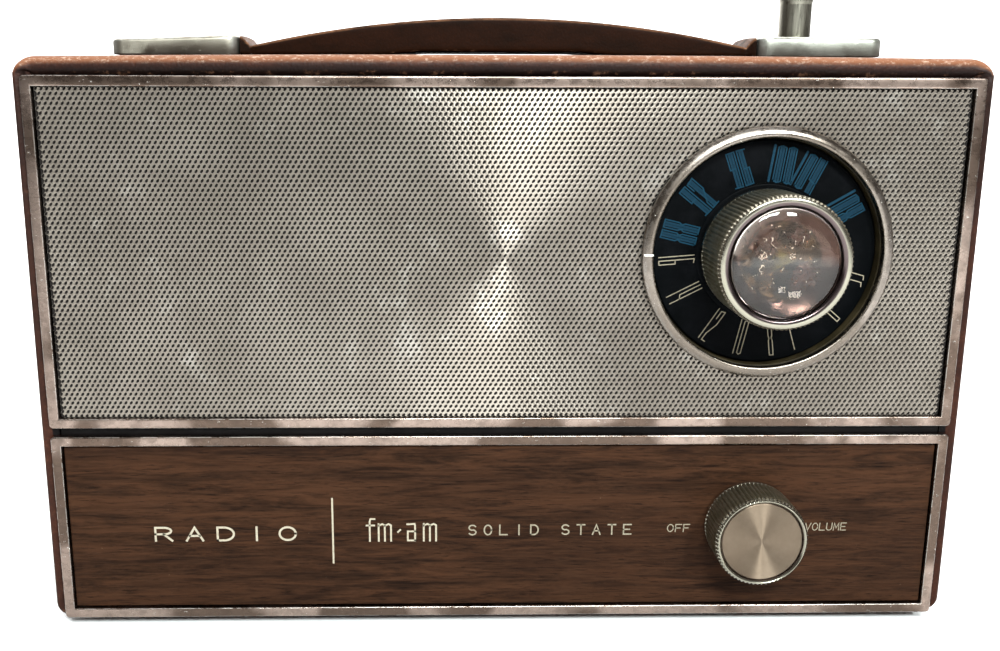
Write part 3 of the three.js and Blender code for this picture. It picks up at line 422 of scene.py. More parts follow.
def die_cast():
    """Zinc casting with a dull plating, its colour darker to the left."""
    s = Surface("die_cast", {"Metallic": 1.0, "Specular IOR Level": 0.5})
    clouds = s.noise(8, 5, 0.65)
    pits = s.ramp(s.noise(0.7, 4, 0.7), 0.64, 0.7)
    colour = s.mix(s.ramp(clouds, 0.36, 0.66), srgb(152, 152, 142), srgb(174, 174, 164))
    colour = s.coat(colour, s.ramp(s.axis("X"), 0.05, -0.05, 0.0, 0.8), (150, 142, 128))
    colour = s.coat(colour, pits, (96, 93, 82), 0.35)
    bright = s.times(s.edge_share(), s.ramp(clouds, 0.36, 0.6))
    colour = s.coat(colour, bright, (226, 226, 218), 0.55)
    return s.finished(
        colour,
        s.ramp(clouds, 0.3, 0.7, 0.34, 0.48),
        s.maths("ADD", s.noise(0.5, 3, 0.6), s.times(pits, -1.0)),
        0.035,
    )


def drawn_metal():
    """The aerial tip's grey-olive metal, with fine upright drawing marks."""
    s = Surface("drawn_metal", {"Metallic": 1.0, "Specular IOR Level": 0.5})
    streaks = s.noise(0.4, 4, 0.7, (1, 1, 18))
    specks = s.ramp(s.noise(0.6, 4, 0.75), 0.62, 0.7)
    colour = s.mix(s.ramp(streaks, 0.3, 0.7), srgb(122, 119, 108), srgb(148, 144, 132))
    colour = s.coat(colour, specks, (70, 66, 56), 0.5)
    return s.finished(colour, s.ramp(streaks, 0.3, 0.7, 0.26, 0.38), streaks, 0.008)


def chromed(name="chromed_tube", tint=(206, 204, 196), smooth=0.12):
    s = Surface(name, {"Metallic": 1.0, "Specular IOR Level": 0.5})
    smears = s.noise(3, 4, 0.6, (1, 1, 6))
    dull = tuple(round(channel * 0.72) for channel in tint)
    return s.finished(
        s.mix(s.ramp(smears, 0.4, 0.68), srgb(*tint), srgb(*dull)),
        s.ramp(smears, 0.3, 0.7, smooth, smooth + 0.2),
        s.noise(0.6, 3, 0.6, (1, 1, 4)),
        0.01,
    )


def walnut():
    s = Surface("walnut", {"Specular IOR Level": 0.03})
    flow = s.noise(30, 3, 0.5, (5, 1, 1), distortion=0.6)
    bands = s.noise(3.6, 6, 0.75, (9, 1, 1), distortion=0.9)
    fibres = s.noise(0.6, 4, 0.75, (22, 1, 1))
    streaks = s.ramp(s.noise(0.9, 5, 0.8, (16, 1, 1), shift=(0, 0, 0.3)), 0.57, 0.66)
    pores = s.ramp(s.noise(0.34, 3, 0.6, (14, 1, 1)), 0.6, 0.7)
    colour = s.mix(s.ramp(bands, 0.34, 0.66), srgb(21, 12, 8), srgb(58, 36, 23))
    colour = s.coat(colour, s.ramp(flow, 0.4, 0.66, 0.0, 0.5), (34, 20, 13))
    colour = s.coat(colour, s.ramp(fibres, 0.4, 0.7, 0.0, 0.5), (62, 41, 28))
    colour = s.coat(colour, streaks, (20, 11, 7), 0.7)
    colour = s.coat(colour, pores, (18, 10, 6), 0.7)
    nicks = s.ramp(s.noise(2.1, 5, 0.85, (1.6, 1, 1), shift=(0.3, 0, 0.2)), 0.715, 0.73)
    colour = s.coat(colour, nicks, (150, 130, 108), 0.4)
    return s.finished(
        colour,
        s.ramp(fibres, 0.3, 0.7, 0.52, 0.4),
        s.maths("SUBTRACT", s.times(fibres, 0.4), pores),
        0.05,
    )


def moulded(name, dark, light, sparkle=0.35, size=0.35, depth=0.03):
    """Moulded plastic with a fine spark-eroded grain and faint handling marks."""
    s = Surface(name, {"Specular IOR Level": 0.08})
    grain = s.noise(size, 3, 0.6)
    marks = s.noise(14, 5, 0.7)
    colour = s.mix(s.ramp(marks, 0.4, 0.66), srgb(*dark), srgb(*light))
    return s.finished(
        colour,
        s.ramp(s.noise(4, 5, 0.75), 0.35, 0.7, sparkle, sparkle + 0.22),
        grain,
        depth,
    )


def dial_black():
    s = Surface("dial_black", {"Specular IOR Level": 0.02})
    dust = s.ramp(s.noise(0.5, 4, 0.8), 0.68, 0.74)
    haze = s.noise(9, 5, 0.7)
    colour = s.mix(s.ramp(haze, 0.4, 0.7), srgb(3, 4, 5), srgb(8, 9, 11))
    colour = s.coat(colour, dust, (96, 92, 82), 0.3)
    return s.finished(colour, s.ramp(haze, 0.35, 0.65, 0.42, 0.56), s.noise(0.6, 3, 0.6), 0.012)


def printed(name, main, worn):
    """Printed ink, a little uneven and rubbed."""
    s = Surface(name, {"Specular IOR Level": 0.1})
    rubbed = s.ramp(s.noise(0.8, 4, 0.75), 0.5, 0.72, 0.0, 0.8)
    return s.finished(
        s.mix(rubbed, srgb(*main), srgb(*worn)),
        s.ramp(s.noise(1.5, 3, 0.6), 0.3, 0.7, 0.45, 0.65),
        s.noise(0.3, 2, 0.5),
        0.01,
    )


def speaker_cloth():
    s = Surface("speaker_cloth", {"Specular IOR Level": 0.15, "Sheen Weight": 0.1})
    weave = s.cells(0.5)
    return s.finished(
        s.mix(s.ramp(weave, 0.1, 0.7), srgb(16, 14, 13), srgb(32, 28, 26)),
        s.ramp(weave, 0.1, 0.8, 0.85, 0.98),
        weave,
        0.12,
    )


def cone_paper():
    s = Surface("cone_paper", {"Specular IOR Level": 0.2})
    fibres = s.noise(0.8, 5, 0.8)
    return s.finished(
        s.mix(s.ramp(fibres, 0.35, 0.7), srgb(36, 31, 28), srgb(66, 58, 50)),
        s.ramp(fibres, 0.3, 0.7, 0.8, 0.95),
        fibres,
        0.08,
    )


def board():
    s = Surface("board", {"Specular IOR Level": 0.4})
    tracks = s.ramp(s.cells(6.5, feature="DISTANCE_TO_EDGE"), 0.1, 0.14)
    speckle = s.noise(0.9, 4, 0.7)
    colour = s.mix(s.ramp(speckle, 0.35, 0.65), srgb(120, 76, 34), srgb(154, 104, 52))
    colour = s.coat(colour, tracks, (98, 64, 30), 0.5)
    return s.finished(colour, s.ramp(speckle, 0.3, 0.7, 0.45, 0.6), tracks, 0.04)


def ferrite():
    s = Surface("ferrite", {"Specular IOR Level": 0.5})
    grain = s.noise(0.5, 4, 0.7)
    return s.finished(
        s.mix(s.ramp(grain, 0.35, 0.65), srgb(38, 34, 33), srgb(62, 57, 54)),
        s.ramp(grain, 0.3, 0.7, 0.5, 0.7),
        grain,
        0.05,
    )


def winding():
    s = Surface("winding", {"Metallic": 0.8})
    turns = s.node(
        "ShaderNodeTexWave",
        {"Vector": s.place, "Scale": 1 / (1.2 * MM)},
        1,
        wave_type="BANDS",
        bands_direction="X",
    )
    return s.finished(
        s.mix(turns, srgb(96, 48, 24), srgb(190, 112, 66)),
        s.ramp(turns, 0.0, 1.0, 0.5, 0.32),
        turns,
        0.15,
    )


def cell_jacket():
    """A zinc cell's printed jacket: a plain coloured band and a bare metal end."""
    s = Surface("cell_jacket", {"Specular IOR Level": 0.5})
    low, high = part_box("battery_tray")
    half = (high.x - low.x) / 2
    along = s.maths("DIVIDE", s.maths("SUBTRACT", s.axis("X"), (low.x + high.x) / 2), half)
    column = s.absolute(s.maths("SUBTRACT", s.absolute(along), 0.47))
    band = s.ramp(column, 0.2, 0.21)
    scratches = s.noise(1.5, 5, 0.75, (4, 1, 1))
    colour = s.mix(band, srgb(52, 96, 138), srgb(196, 172, 96))
    colour = s.coat(colour, s.ramp(scratches, 0.5, 0.75, 0.0, 0.4), (190, 190, 186))
    s.use("Base Color", colour)
    s.use("Metallic", s.ramp(band, 0.0, 1.0, 0.15, 0.7))
    s.use("Roughness", s.ramp(scratches, 0.3, 0.7, 0.3, 0.46))
    s.bump(scratches, 0.02)
    return s.material


MATERIALS = {
    "leatherette": leatherette(),
    "handle_leather": strap_leather(),
    "trim_aluminium": aged_trim("aged_trim", (94, 79, 70), (150, 132, 122), 0.5),
    "ring_aluminium": aged_trim("aged_ring", (116, 106, 97), (140, 130, 122), 0.15),
    "brushed_aluminium": brushed(
        "brushed_grille", [(141, 132, 122), (158, 149, 139), (120, 111, 102)], 0.45, 0.88, 0.25
    ),
    "spun_aluminium": brushed(
        "spun_aluminium", [(108, 94, 80), (122, 108, 93), (94, 81, 69)], 0.37, 0.95
    ),
    "tuning_metal": knurled_metal("tuning_knob", TUNING_KNOB["flange"], 15.9),
    "volume_metal": knurled_metal("volume_knob", VOLUME_KNOB["flange"], 11.7),
    "emblem_foil": foil(),
    "clear_lens": clear_dome(),
    "die_cast": die_cast(),
    "drawn_metal": drawn_metal(),
    "chromed_tube": chromed(),
    "walnut": walnut(),
    "black_plastic": moulded("black_plastic", (5, 3, 3), (11, 8, 8)),
    "dial_black": dial_black(),
    "well_bronze": moulded("well_bronze", (34, 29, 18), (58, 50, 34), 0.3),
    "plated_steel": chromed("plated_steel", (170, 168, 160), 0.28),
    "grey_plastic": moulded("grey_plastic", (52, 52, 52), (72, 71, 69)),
    "cone_paper": cone_paper(),
    "board": board(),
    "ferrite": ferrite(),
    "winding": winding(),
    "cell_jacket": cell_jacket(),
    "rubber": moulded("rubber", (24, 23, 22), (40, 38, 36), 0.7, 0.8, 0.06),
    "speaker_cloth": speaker_cloth(),
    "fm_ink": printed("fm_ink", (4, 42, 58), (4, 34, 46)),
    "fm_shade": printed("fm_shade", (3, 36, 51), (3, 28, 40)),
    "am_ink": printed("am_ink", (134, 125, 108), (86, 77, 64)),
    "panel_ink": printed("panel_ink", (162, 152, 134), (120, 107, 90)),
    "index_paint": printed("index_paint", (226, 222, 212), (186, 178, 166)),
}


# ---- Mesh helpers -------------------------------------------------------------------------------------
def piece(name, points, faces, material, body, stands_for=(), sharp_above=38):
    """A named mesh from points in millimetres, riding on a CAD body."""
    mesh = bpy.data.meshes.new(name)
    mesh.from_pydata([tuple(p) for p in np.asarray(points, float) * MM], [], faces)
    mesh.materials.append(MATERIALS[material])
    mesh.polygons.foreach_set("use_smooth", [True] * len(mesh.polygons))
    if sharp_above < 180:
        mesh.set_sharp_from_angle(angle=math.radians(sharp_above))
    made = in_scene(name, mesh)
    if body is not None:
        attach(made, body)
    if stands_for:
        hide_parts(*stands_for)
    return made


def sheet_faces(rings, points, close_rings=False):
    """Four-sided faces over a stack of closed rings of points, numbered ring by ring."""
    faces = []
    for i in range(rings if close_rings else rings - 1):
        for j in range(points):
            a = i * points + j
            b = i * points + (j + 1) % points
            c = ((i + 1) % rings) * points + (j + 1) % points
            d = ((i + 1) % rings) * points + j
            faces.append((a, b, c, d))
    return faces


def capped(rings, points):
    """Faces over a stack of rings, closed by one face at each end."""
    faces = sheet_faces(rings, points)
    faces.append(tuple(reversed(range(points))))
    faces.append(tuple(range((rings - 1) * points, rings * points)))
    return faces


def upright_ring(flat, depth):
    """A ring of (x, z) points set upright, at one depth or at a depth for each."""
    return np.stack([flat[:, 0], np.broadcast_to(depth, len(flat)), flat[:, 1]], 1)


def filleted(profile, radius, steps=4):
    """The open profile with each inner corner replaced by a short arc, at most radius from it."""
    points = [np.array(p, float) for p in profile]
    result = [points[0]]
    for before, corner, after in zip(points, points[1:], points[2:]):
        reach = min(radius, np.linalg.norm(before - corner) * 0.45, np.linalg.norm(after - corner) * 0.45)
        start = corner + (before - corner) / np.linalg.norm(before - corner) * reach
        end = corner + (after - corner) / np.linalg.norm(after - corner) * reach
        for i in range(steps + 1):
            t = i / steps
            result.append((1 - t) ** 2 * start + 2 * t * (1 - t) * corner + t * t * end)
    result.append(points[-1])
    return result


def turned(profile, centre, axis, segments=96, ripple=None):
    """Points and faces of a profile of (radius, place along the axis) turned about a front-to-back (Y) or
    upright (Z) axis. ripple(angle, radius, place) may change the radius."""
    angles = np.linspace(0, 2 * math.pi, segments, endpoint=False)
    rows = []
    for radius, place in profile:
        for angle in angles:
            r = radius if ripple is None else ripple(angle, radius, place)
            across, up = r * math.cos(angle), r * math.sin(angle)
            if axis == "Y":
                rows.append((centre[0] + across, place, centre[2] + up))
            else:
                rows.append((centre[0] + across, centre[1] + up, place))
    faces = sheet_faces(len(profile), segments)
    return np.array(rows), faces


def rect_loop(left, bottom, right, top, radius, corner_steps=6, side_steps=1):
    """Points round a rectangle with rounded corners, and the outward direction at each."""
    corners = [
        (right - radius, bottom + radius, -90),
        (right - radius, top - radius, 0),
        (left + radius, top - radius, 90),
        (left + radius, bottom + radius, 180),
    ]
    points, outward = [], []
    for number, (x, z, start) in enumerate(corners):
        for i in range(corner_steps + 1):
            angle = math.radians(start + 90 * i / corner_steps)
            points.append((x + radius * math.cos(angle), z + radius * math.sin(angle)))
            outward.append((math.cos(angle), math.sin(angle)))
        next_x, next_z, _ = corners[(number + 1) % 4]
        angle = math.radians(start + 90)
        begin = np.array(points[-1])
        end = np.array([next_x + radius * math.cos(angle), next_z + radius * math.sin(angle)])
        for i in range(1, side_steps):
            points.append(tuple(begin + (end - begin) * i / side_steps))
            outward.append((math.cos(angle), math.sin(angle)))
    return np.array(points), np.array(outward)


def ribbon(line, width):
    """Left and right borders of a flat stroke along a line of (u, v) points."""
    line = np.array(line, float)
    count = len(line)
    borders = []
    for i in range(count):
        before = line[i - 1] if i > 0 else None
        after = line[i + 1] if i < count - 1 else None
        into = (line[i] - before) if before is not None else (after - line[i])
        out = (after - line[i]) if after is not None else into
        into = into / np.linalg.norm(into)
        out = out / np.linalg.norm(out)
        normal = np.array([-into[1] - out[1], into[0] + out[0]])
        length = np.linalg.norm(normal)
        normal = normal / length if length > 1e-6 else np.array([-into[1], into[0]])
        stretch = 1 / max(0.5, float(normal @ np.array([-into[1], into[0]])))
        reach = width / 2 * stretch
        place = line[i]
        if before is None:
            place = place - into * width / 2
        if after is None:
            place = place + into * width / 2
        borders.append((place + normal * reach, place - normal * reach))
    return borders


def as_drawn(point):
    return point


class Ink:
    """Collects printed strokes, each a thin slab standing on a front-facing plane."""

    def __init__(self, level, thickness=PAINT_THICKNESS):
        self.level = level
        self.thickness = thickness
        self.points = []
        self.faces = []

    def stroke(self, line, width, to_plane=as_drawn):
        borders = ribbon(line, width)
        base = len(self.points)
        for left, right in borders:
            for side in (left, right):
                x, z = to_plane(side)
                self.points.append((x, self.level, z))
                self.points.append((x, self.level - self.thickness, z))
        for i in range(len(borders) - 1):
            a = base + 4 * i
            b = a + 4
            self.faces += [
                (a + 1, b + 1, b + 3, a + 3),
                (a, b, b + 1, a + 1),
                (a + 3, b + 3, b + 2, a + 2),
            ]

    def piece(self, name, material, body):
        return piece(name, self.points, self.faces, material, body)


DIGITS = {
    "0": [[(0, 0.04), (0, 0.96), (0.5, 1), (1, 0.96), (1, 0.04), (0.5, 0), (0, 0.04)]],
    "1": [[(0.5, 0), (0.5, 1)]],
    "2": [[(0, 0.72), (0, 0.97), (1, 1), (1, 0.58), (0, 0.22), (0, 0), (1, 0)]],
    "4": [[(0, 1), (0, 0.36), (1, 0.3)], [(1, 1), (1, 0)]],
    "5": [[(1, 1), (0, 1), (0, 0.56), (1, 0.5), (1, 0.03), (0, 0)]],
    "6": [[(1, 0.98), (0, 1), (0, 0), (1, 0), (1, 0.46), (0.3, 0.46)]],
    "7": [[(0, 1), (1, 1), (0.45, 0)]],
    "8": [
        [(0, 0), (0, 0.42), (0.22, 0.5), (0, 0.58), (0, 1), (1, 1)]
        + [(1, 0.58), (0.78, 0.5), (1, 0.42), (1, 0), (0, 0)]
    ],
    "9": [[(0.7, 0.54), (0, 0.54), (0, 1), (1, 1), (1, 0), (0, 0.02)]],
}


def arc(x, z, width, height, start, end, steps=10):
    """Points on an oval, from one angle to another, in degrees."""
    angles = [math.radians(start + (end - start) * i / steps) for i in range(steps + 1)]
    return [(x + width * math.cos(a), z + height * math.sin(a)) for a in angles]


LETTERS = {
    "A": [[(0, 0), (0.5, 1), (1, 0)], [(0.2, 0.36), (0.8, 0.36)]],
    "D": [[(0, 0), (0, 1), (0.4, 1)] + arc(0.4, 0.5, 0.6, 0.5, 80, -80) + [(0.4, 0), (0, 0)]],
    "E": [[(1, 1), (0, 1), (0, 0), (1, 0)], [(0, 0.5), (0.8, 0.5)]],
    "F": [[(1, 1), (0, 1), (0, 0)], [(0, 0.5), (0.8, 0.5)]],
    "I": [[(0.5, 0), (0.5, 1)]],
    "L": [[(0, 1), (0, 0), (1, 0)]],
    "M": [[(0, 0), (0.08, 1), (0.5, 0.3), (0.92, 1), (1, 0)]],
    "O": [arc(0.5, 0.5, 0.5, 0.5, 0, 360, 20)],
    "R": [
        [(0, 0), (0, 1), (0.55, 1)] + arc(0.55, 0.75, 0.42, 0.25, 80, -80, 6) + [(0.55, 0.5), (0, 0.5)],
        [(0.5, 0.5), (1, 0)],
    ],
    "S": [arc(0.5, 0.74, 0.46, 0.26, 30, 250, 8) + arc(0.5, 0.26, 0.48, 0.26, 70, -150, 8)],
    "T": [[(0, 1), (1, 1)], [(0.5, 1), (0.5, 0)]],
    "U": [[(0, 1), (0, 0.35)] + arc(0.5, 0.35, 0.5, 0.35, 190, 350, 8) + [(1, 0.35), (1, 1)]],
    "V": [[(0, 1), (0.5, 0), (1, 1)]],
    "f": [[(0.9, 1.3), (0.45, 1.3), (0.35, 1.15), (0.35, 0)], [(0, 0.92), (0.85, 0.92)]],
    "m": [
        [(0, 0), (0, 1)],
        [(0, 0.9), (0.3, 1), (0.5, 0.92), (0.5, 0)],
        [(0.5, 0.9), (0.8, 1), (1, 0.92), (1, 0)],
    ],
    "a": [
        [(0.05, 0.98), (0.85, 1), (0.9, 0.9), (0.9, 0)],
        [(0.9, 0.56), (0.1, 0.56), (0.1, 0.02), (0.9, 0.02)],
    ],
}


def write(ink, text, left, base, height, letter, step, width, lean=0.0):
    """Writes a word in single-stroke letters, each letter wide and step apart, leaning to the right."""
    for number, character in enumerate(text):
        if character == " ":
            continue
        start = left + number * step
        for line in LETTERS[character]:
            placed = [(start + u * letter + v * height * lean, base + v * height) for u, v in line]
            ink.stroke(placed, width)


# ---- Case and trim ------------------------------------------------------------------------------------
def case_cover():
    low, high = edges("case_shell")
    baffle_low, baffle_high = edges("front_baffle")
    front, back = low[1], high[1]
    path, outward = rect_loop(low[0], low[2], high[0], high[2], CASE_CORNER_RADIUS, 8, 24)
    left, bottom = baffle_low[0] - BAFFLE_GAP, baffle_low[2] - BAFFLE_GAP
    right, top = baffle_high[0] + BAFFLE_GAP, baffle_high[2] + BAFFLE_GAP
    inner, _ = rect_loop(left, bottom, right, top, 0.4, 8, 24)
    upward = np.clip(outward[:, 1], 0, 1) ** 2
    downward = np.clip(-outward[:, 1], 0, 1) ** 2
    rounding = (
        CASE_TOP_ROLL * upward + CASE_BOTTOM_ROUNDING * downward + CASE_SIDE_ROUNDING * outward[:, 0] ** 2
    )
    crown = CASE_CROWN * (path[:, 0] / high[0]) ** 2 * (path[:, 1] > high[2] - CASE_CORNER_RADIUS)
    path = path - np.stack([np.zeros(len(path)), crown], 1)
    sideways = outward[:, 0] ** 2
    lowered = (high[2] - path[:, 1]) / (high[2] - low[2])
    path = path + outward * (CASE_SIDE_PROUD * sideways * lowered)[:, None]
    shelf = path - outward * (rounding + CASE_SHELF * sideways + 0.05)[:, None]
    rings = []

    def ring(flat, depth):
        rings.append(upright_ring(flat, depth))

    def edge_ring(share, start, end, direction):
        """One ring of a rolled edge. start is the angle at which the roll leaves the front or back."""
        angle = start + (math.pi / 2 - start) * share
        flat = path - outward * (rounding * (1 - np.sin(angle)))[:, None]
        ring(flat, end + direction * rounding * (1 - np.cos(angle)))

    steps = 14
    tucked = -math.radians(82) * upward
    square = np.zeros(len(path))
    tuck_depth = front + BAFFLE_GAP + rounding * (1 - np.cos(tucked))
    ring(inner, front + CASE_LINING)
    ring(inner, tuck_depth)
    ring(shelf - outward * (rounding * -np.sin(tucked))[:, None], tuck_depth)
    for i in range(steps + 1):
        edge_ring(i / steps, tucked, front - CASE_SIDE_FORWARD * sideways, 1)
    for share in (0.15, 0.3, 0.5, 0.7, 0.85):
        ring(path, front + (back - front) * share)
    for i in range(steps + 1):
        edge_ring(1 - i / steps, square, back, -1)
    ring(inner + outward * BAFFLE_GAP, back)
    ring(inner, back - BAFFLE_GAP)
    points = np.concatenate(rings)
    faces = sheet_faces(len(rings), len(path), close_rings=True)
    return piece("case_cover", points, faces, "leatherette", "cabinet", ["case_shell"], 50)


def trim(name, node):
    """A mitred aluminium surround with soft edges and a leg that reaches back to the baffle."""
    low, high = edges(node)
    front, back = low[1], high[1]
    section = [
        (TRIM_WIDTH - TRIM_LEG, back),
        (TRIM_WIDTH - TRIM_LEG, front + TRIM_FLANGE),
        (0.0, front + TRIM_FLANGE),
        (0.0, front + 0.05),
        (TRIM_WIDTH, front + 0.02),
        (TRIM_WIDTH, back),
    ]
    section = filleted(section, TRIM_EDGE, 4)
    rings = []
    for inset, depth in section:
        radius = max(TRIM_CORNER_RADIUS - inset, 0.03)
        flat, _ = rect_loop(low[0] + inset, low[2] + inset, high[0] - inset, high[2] - inset, radius, 6, 30)
        rings.append(upright_ring(flat, depth))
    faces = sheet_faces(len(rings), len(rings[0]), close_rings=True)
    return piece(
        name, np.concatenate(rings), faces, "trim_aluminium", "cabinet", [node], 50
    )


# ---- Grille -------------------------------------------------------------------------------------------
def hole_corner(number):
    """One corner of a leaning slot. Corners 0 to 5 face the gaps between its six neighbours."""
    angle = math.radians(30 + 60 * number)
    across = math.cos(angle - HOLE_LEAN) * HOLE_LENGTH / 2
    along = math.sin(angle - HOLE_LEAN) * HOLE_WIDTH / 2
    return (
        across * math.cos(HOLE_LEAN) - along * math.sin(HOLE_LEAN),
        across * math.sin(HOLE_LEAN) + along * math.cos(HOLE_LEAN),
    )


def perforated_grille():
    low, high = edges("speaker_grille")
    dial = middle("dial_bezel")
    clear = (edges("dial_bezel")[1][0] - edges("dial_bezel")[0][0]) / 2 - 0.8
    front = low[1]
    rows = int((high[2] - low[2]) / ROW_PITCH) + 1
    start = (low[2] + high[2] - (rows - 1) * ROW_PITCH) / 2
    reach = int(high[0] / HOLE_PITCH)
    numbers = {}
    for row in range(rows):
        for column in range(-reach - 1, reach + 1):
            x = column * HOLE_PITCH + (HOLE_PITCH / 2 if row % 2 else 0)
            z = start + row * ROW_PITCH
            inside = abs(x) <= high[0] + 0.5
            if inside and math.hypot(x - dial[0], z - dial[2]) > clear:
                numbers[(row, column)] = (len(numbers), x, z)
    corners = [hole_corner(k) for k in range(6)]
    points, faces = [], []
    for _, x, z in numbers.values():
        for depth in (front, front + GRILLE_DEPTH):
            points += [(x + u, depth, z + v) for u, v in corners]
    for (row, column), (number, _, _) in numbers.items():
        base = 12 * number
        for k in range(6):
            n = (k + 1) % 6
            faces.append((base + k, base + n, base + 6 + n, base + 6 + k))
        shift = row % 2
        right = numbers.get((row, column + 1))
        above_left = numbers.get((row + 1, column - 1 + shift))
        above_right = numbers.get((row + 1, column + shift))
        if right:
            other = 12 * right[0]
            faces.append((base + 5, other + 3, other + 2, base))
        if above_right:
            other = 12 * above_right[0]
            faces.append((base, other + 4, other + 3, base + 1))
        if above_left:
            other = 12 * above_left[0]
            faces.append((base + 1, other + 5, other + 4, base + 2))
        if right and above_right:
            faces.append((base, 12 * right[0] + 2, 12 * above_right[0] + 4))
        if above_left and above_right:
            faces.append((base + 1, 12 * above_right[0] + 3, 12 * above_left[0] + 5))
    made = piece(
        "perforated_grille",
        points,
        faces,
        "brushed_aluminium",
        "cabinet",
        ["speaker_grille"],
        70,
    )
    centre_texture(made, Vector((0, front, (low[2] + high[2]) / 2)) * MM)
    round_webs(made, corners)
    return made


def round_webs(made, corners):
    """Leans the front's shading normals towards the holes, as if the metal between them were rounded."""
    leaning = []
    for u, v in corners:
        reach = math.hypot(u, v)
        leaning.append(Vector((-u / reach * WEB_ROUNDING, -1, -v / reach * WEB_ROUNDING)).normalized())
    mesh = made.data
    upright = Vector((0, 0, 0))
    normals = []
    for face in mesh.polygons:
        flat = abs(face.normal.y) > 0.9
        for vertex in face.vertices:
            normals.append(leaning[vertex % 12] if flat else upright)
    mesh.normals_split_custom_set(normals)


def centre_texture(made, centre):
    """Puts the middle of the piece's texture space, which circular grain turns about, at centre."""
    made.data.use_auto_texspace = False
    made.data.texspace_location = centre
    made.data.texspace_size = (0.1, 0.1, 0.1)


def grille_backing():
    low, high = edges("speaker_grille")
    dial = middle("dial_bezel")
    depth = low[1] + GRILLE_DEPTH + 0.15
    outline, _ = rect_loop(low[0] - 0.7, low[2] - 0.2, high[0] + 0.7, high[2] + 0.2, 0.5, 2, 30)
    angles = np.arctan2(outline[:, 1] - dial[2], outline[:, 0] - dial[0])
    inner_radius = 32.9
    inner = np.stack(
        [dial[0] + inner_radius * np.cos(angles), dial[2] + inner_radius * np.sin(angles)], 1
    )
    rings = []
    for share in (0, 0.3, 0.6, 1):
        flat = inner + (outline - inner) * share
        rings.append(upright_ring(flat, depth))
    faces = sheet_faces(len(rings), len(outline))
    return piece(
        "grille_cloth", np.concatenate(rings), faces, "speaker_cloth", "cabinet"
    )


# ---- Wood panel ---------------------------------------------------------------------------------------
def wood_panel():
    low, high = edges("wood_panel")
    knob = middle("volume_knob")
    front, back = low[1], high[1]
    edge = 0.25
    outline, outward = rect_loop(low[0], low[2], high[0], high[2], 0.5, 3, 30)
    angles = np.arctan2(outline[:, 1] - knob[2], outline[:, 0] - knob[0])
    direction = np.stack([np.cos(angles), np.sin(angles)], 1)
    hole = 4.0  # radius round the volume shaft
    flat_round_hole = 12
    flats = [
        (np.array([knob[0], knob[2]]) + direction * hole, back),
        (np.array([knob[0], knob[2]]) + direction * hole, front + edge),
        (np.array([knob[0], knob[2]]) + direction * (hole + edge), front),
        (np.array([knob[0], knob[2]]) + direction * flat_round_hole, front),
        (outline - outward * edge, front),
        (outline, front + edge),
        (outline, back),
    ]
    rings = [upright_ring(flat, depth) for flat, depth in flats]
    faces = sheet_faces(len(rings), len(outline), close_rings=True)
    return piece(
        "walnut_panel", np.concatenate(rings), faces, "walnut", "cabinet", ["wood_panel"], 40
    )


def panel_words():
    """Plain words for what the controls do, and the thin upright rule beside them."""
    low, high = edges("wood_panel")
    base = (low[2] + high[2]) / 2 - 4.4
    bold, fine = Ink(low[1]), Ink(low[1])
    write(bold, "RADIO", -98.1, base + 0.4, 3.9, 4.6, 8.75, 0.6)
    bold.stroke([(-48, base - 6.6), (-48, base + 12.8)], 0.5)
    for letter, left, wide in (("f", -38.4, 2.5), ("m", -35.0, 3.5), ("a", -27.0, 2.6), ("m", -22.2, 3.5)):
        write(bold, letter, left, base, 5.1, wide, 0, 0.5)
    bold.stroke([(-29.5, base + 2.7), (-28.9, base + 3.3)], 0.5)
    write(fine, "SOLID STATE", -9.4, base + 1.7, 2.9, 2.1, 4.42, 0.4)
    write(fine, "OFF", 47.3, base + 2.4, 2.15, 1.65, 2.3, 0.27, 0.06)
    write(fine, "VOLUME", 86.9, base + 2.6, 2.15, 1.5, 2.04, 0.24, 0.06)
    bold.piece("panel_words", "panel_ink", "cabinet")
    fine.piece("panel_small_words", "am_ink", "cabinet")


# ---- Dial ---------------------------------------------------------------------------------------------
def dial_well():
    low, high, centre, outer = round_size("dial_housing")
    inner = outer - 1.2
    profile = [
        (4.2, high[1] - 1.2),
        (inner, high[1] - 1.2),
        (inner, low[1]),
        (outer, low[1]),
        (outer, high[1]),
        (4.2, high[1]),
        (4.2, high[1] - 1.2),
    ]
    points, faces = turned(filleted(profile, 0.3, 2), centre, "Y")
    return piece("dial_well", points, faces, "well_bronze", "cabinet", ["dial_housing"])


def dial_ring():
    low, high, centre, outer = round_size("dial_bezel")
    inner = outer - 2.95
    front = low[1]
    profile = [
        (outer - 1.25, high[1]),
        (outer - 1.25, front + 2.3),
        (inner, front + 2.3),
        (inner, front + 0.55),
        (inner + 0.14, front + 0.2),
        (inner + 0.5, front + 0.03),
        (inner + 1.1, front + 0.02),
        (inner + 1.8, front + 0.22),
        (inner + 2.35, front + 0.52),
        (outer - 0.2, front + 0.86),
        (outer, front + 1.2),
        (outer, front + 2.3),
        (outer - 0.9, front + 2.3),
        (outer - 0.9, high[1]),
        (outer - 1.25, high[1]),
    ]
    points, faces = turned(filleted(profile, 0.16, 3), centre, "Y", 160)
    return piece(
        "dial_ring", points, faces, "ring_aluminium", "cabinet", ["dial_bezel"], 50
    )


def index_mark():
    """The one bright line across the ring, at nine o'clock, that the numbers are read against."""
    low, _, centre, outer = round_size("dial_bezel")
    ink = Ink(low[1] + 0.9, 0.94)
    ink.stroke([(centre[0] - outer + 0.6, centre[2]), (centre[0] - outer + 2.6, centre[2])], 0.5)
    return ink.piece("index_mark", "index_paint", "cabinet")


